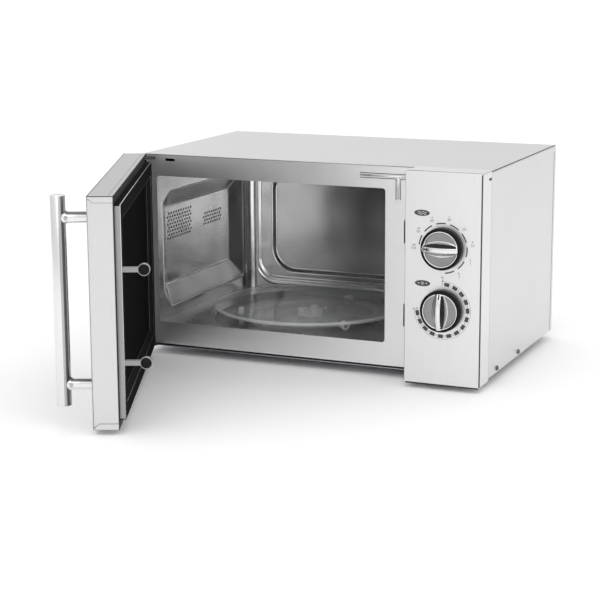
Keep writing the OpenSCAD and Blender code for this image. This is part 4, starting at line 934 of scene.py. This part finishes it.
def repaint(piece, material, chosen):
    """Give a second finish to the faces that chosen picks from their middles, in shut-door drawing mm."""
    picked = chosen(about_hinge(face_middles(piece), -DOOR_OPEN))
    second_finish(piece, material, picked)
    print(piece.name, int(picked.sum()), "faces repainted")


HOOK_ZS, HOOK_Y, HOOK_X = (82.0, 188.5), 60.5, 371.0
for name, radius, inner, material in (("hook_caps", 6.4, 0.0, FINISHES["choke_black"]),
                                      ("hook_rims", 7.1, 6.4, painted_faint_line)):
    profile = [(inner, -0.12), (radius - 0.3, -0.12), (radius, 0.2), (radius, 4.8), (radius - 0.3, 5.12), (inner, 5.12)]
    heads = [round_piece(name, on_open_door(lathe(profile, (HOOK_X, HOOK_Y, height), "x", 48)), inner > 0)
             for height in HOOK_ZS]
    join(name, heads, "latch", material)
rim = bpy.data.objects["door_bezel_sheet"]
repaint(rim, FINISHES["door_steel"],
        lambda p: (p[:, 0] < DOOR_L + 1.2) | (p[:, 1] > BEZEL_Y - 0.1)
        | ((p[:, 1] > 1.2) & (p[:, 0] < DOOR_R - 1.7) & (p[:, 2] < TOP_Z - 0.3) & (p[:, 2] > DROP_Z + 0.3)))
# The door's top faces take painted shade.
repaint(rim, FINISHES["bezel_top_painted_shade"], lambda p: p[:, 2] > TOP_Z - 0.2)
# The choke cover's free edge takes the painted faint line, a painted highlight on the black moulding.
repaint(bpy.data.objects["choke_cover_sheet"], painted_faint_line, lambda p: p[:, 0] > 376.8)

# %% [markdown]
# Behind each pane of the door lies a steel screen with thousands of round holes. Cut as geometry
# they would be far too many faces, so the panes show them as a pattern: two sine waves multiplied
# give a grid of round spots, and a threshold makes the spots crisp. The pattern is turned with
# the door, so its rows stay upright and level on the open door.

# %% The screen behind the panes
HOLE_PITCH = 1.9


def screened_pane(name, base, spot, specular):
    """spots = sin(x) * sin(z) above a threshold, in coordinates that lie along the open door."""
    made = finish(name, base, 1.3 * base, 0.08, 0.0, EVEN, 60, 0.01, 0.03,
                  Specular_IOR_Level=specular)
    tree = made.node_tree
    shader = tree.nodes["Principled BSDF"].inputs["Base Color"]
    where = new_node(tree, "TexCoord").outputs["Object"]
    turns_per_m = 2 * math.pi / (2 * HOLE_PITCH * MM)
    turned = new_node(tree, "Mapping", {"Vector": where, "Rotation": (0, 0, DOOR_OPEN), "Scale": (turns_per_m,) * 3})
    split = new_node(tree, "SeparateXYZ", {"Vector": turned.outputs["Vector"]}).outputs
    across, up = (new_node(tree, "Math", {0: split[axis]}, operation="SINE").outputs[0] for axis in "XZ")
    both = new_node(tree, "Math", {0: across, 1: up}, operation="MULTIPLY").outputs[0]
    size = new_node(tree, "Math", {0: both}, operation="ABSOLUTE").outputs[0]
    crisp = new_node(tree, "MapRange", {"Value": size, "From Min": 0.28, "From Max": 0.42}).outputs["Result"]
    mixed = new_node(tree, "Mix", {"A": shade_of(spot), "B": shader.links[0].from_socket, "Factor": crisp},
                     data_type="RGBA")
    tree.links.new(mixed.outputs["Result"], shader)
    return made


for node, made in (("inner_glass", screened_pane("inner pane and screen", 0.004, 0.016, 0.0)),
                   ("outer_glass", screened_pane("outer pane and screen", 0.010, 0.030, 0.5))):
    only_finish(frame["nodes"][node], made)
print("panes screened")

# %% [markdown]
# The latch spring is a helix of thin wire about its post. A tube swept along a helix needs a frame
# at each point: the radius line of the helix and its binormal do well. On the real latch the spring
# shortens as the lever rises; here it is built at one length.

# %% The latch spring
SPRING_LOW, SPRING_HIGH, WIRE_R, COIL_R, TURNS = 200.55, 216.95, 0.4, 2.6, 6.5
POST_X, POST_Y = 372.5, 21.5
t = np.linspace(0, 1, int(TURNS * 26) + 1)
swing = 2 * math.pi * TURNS * t
rise = SPRING_HIGH - SPRING_LOW - 2 * WIRE_R
slope = math.atan2(rise, 2 * math.pi * TURNS * COIL_R)
spine = np.stack([COIL_R * np.cos(swing), COIL_R * np.sin(swing), SPRING_LOW + WIRE_R + rise * t], 1)
spoke = np.stack([np.cos(swing), np.sin(swing), 0 * swing], 1)
lift = np.stack([math.sin(slope) * np.sin(swing), -math.sin(slope) * np.cos(swing), 0 * swing + math.cos(slope)], 1)
a = np.linspace(0, 2 * math.pi, 8, endpoint=False)
rings = [spine[:1, None] + 0 * a[:, None],
         spine[:, None] + WIRE_R * (np.cos(a)[:, None] * spoke[:, None] + np.sin(a)[:, None] * lift[:, None]),
         spine[-1:, None] + 0 * a[:, None]]
coil = np.concatenate([np.broadcast_to(r, (r.shape[0], 8, 3)) for r in rings]) + [POST_X, POST_Y, 0]
spring = round_piece("latch_coil", on_open_door(coil))
dress(spring, "door", FINISHES["screw_steel"])
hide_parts("latch_spring")
tuple(float(c) for c in from_open_door([POST_X, POST_Y, SPRING_HIGH]))
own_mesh(spring)
print("spring", len(spring.data.polygons), "faces")

# %% [markdown]

# %% [markdown]
# The oven stands on a pale sweep, as for a catalogue: light comes from everywhere, with large soft
# boxes that give the metal something to mirror. The world does most of the work. It isn't plain:
# its brightness changes with the bearing, so that each side of the oven mirrors its own tone, and
# it is brighter overhead. The lamps add a little shape.

# %% Floor, light and camera
floor_points = [(-20, -20, 0), (20, -20, 0), (20, 20, 0), (-20, 20, 0)]
floor = new_piece("studio_floor", floor_points, [(0, 1, 2, 3)], smooth=False)
floor.data.materials.append(finish("pale floor", 0.97, 0.96, 0.6, grain=3, bump=0.0, spread=0.05))

world = bpy.data.worlds.new("studio")
world.use_nodes = True
sky_tree = world.node_tree
ahead = new_node(sky_tree, "TexCoord").outputs["Generated"]
parts = new_node(sky_tree, "SeparateXYZ", {"Vector": ahead}).outputs
bearing = new_node(sky_tree, "Math", {0: parts["Y"], 1: parts["X"]}, operation="ARCTAN2").outputs[0]
share = new_node(sky_tree, "MapRange", {"Value": bearing, "From Min": -math.pi, "From Max": math.pi})
around = new_node(sky_tree, "ValToRGB", {"Fac": share.outputs["Result"]})
STOPS = [(0.0, 0.82), (0.10, 0.84), (0.20, 0.90), (0.34, 0.92), (0.60, 0.84), (0.68, 0.64), (0.74, 0.70),
         (0.86, 0.88), (0.93, 0.82)]
while len(around.color_ramp.elements) < len(STOPS):
    around.color_ramp.elements.new(0.5)
for element, (at, value) in zip(around.color_ramp.elements, STOPS):
    element.position, element.color = at, shade_of(value)
height = new_node(sky_tree, "MapRange", {"Value": parts["Z"], "From Min": 0.30, "From Max": 0.75})
sky = new_node(sky_tree, "Mix", {"A": around.outputs["Color"], "B": shade_of(1.20),
                                 "Factor": height.outputs["Result"]}, data_type="RGBA")
sky_tree.links.new(sky.outputs["Result"], sky_tree.nodes["Background"].inputs["Color"])
bpy.context.scene.world = world
bpy.context.scene.view_settings.view_transform = "Standard"


def soft_box(name, place, aim, size, power):
    """A square area lamp at place that faces the point aim."""
    lamp = bpy.data.lights.new(name, "AREA")
    lamp.size = size
    lamp.energy = power
    thing = bpy.data.objects.new(name, lamp)
    thing.location = place
    thing.rotation_euler = (Vector(aim) - Vector(place)).to_track_quat("-Z", "Y").to_euler()
    bpy.context.scene.collection.objects.link(thing)


soft_box("top_light", (-0.2, -0.6, 2.6), (0, 0, 0.1), 2.4, 3)
soft_box("front_fill", (0.35, -1.3, 1.0), (-0.1, -0.35, 0), 1.0, 2)
soft_box("side_light", (2.3, -0.85, 0.75), (0.1, -0.1, 0.15), 1.0, 3)


def aim_camera(place, yaw, pitch, roll, lens):
    """The camera looks along yaw and pitch, and roll turns its right and up about that line."""
    ahead = Vector((-math.sin(yaw) * math.cos(pitch), math.cos(yaw) * math.cos(pitch), -math.sin(pitch)))
    level = Vector((math.cos(yaw), math.sin(yaw), 0))
    above = level.cross(ahead)
    right = math.cos(roll) * level + math.sin(roll) * above
    up = -math.sin(roll) * level + math.cos(roll) * above
    data = bpy.data.cameras.new("camera")
    data.lens = lens
    data.sensor_width = 36.0
    data.clip_end = 50
    camera = bpy.data.objects.new("camera", data)
    turn = Matrix((right, up, -ahead)).transposed().to_4x4()
    camera.matrix_world = Matrix.Translation(place) @ turn
    bpy.context.scene.collection.objects.link(camera)
    bpy.context.scene.camera = camera


aim_camera((0.83883, -2.07616, 0.54336), 0.412319, 0.210021, -0.005054, 101.04)
print("camera set")
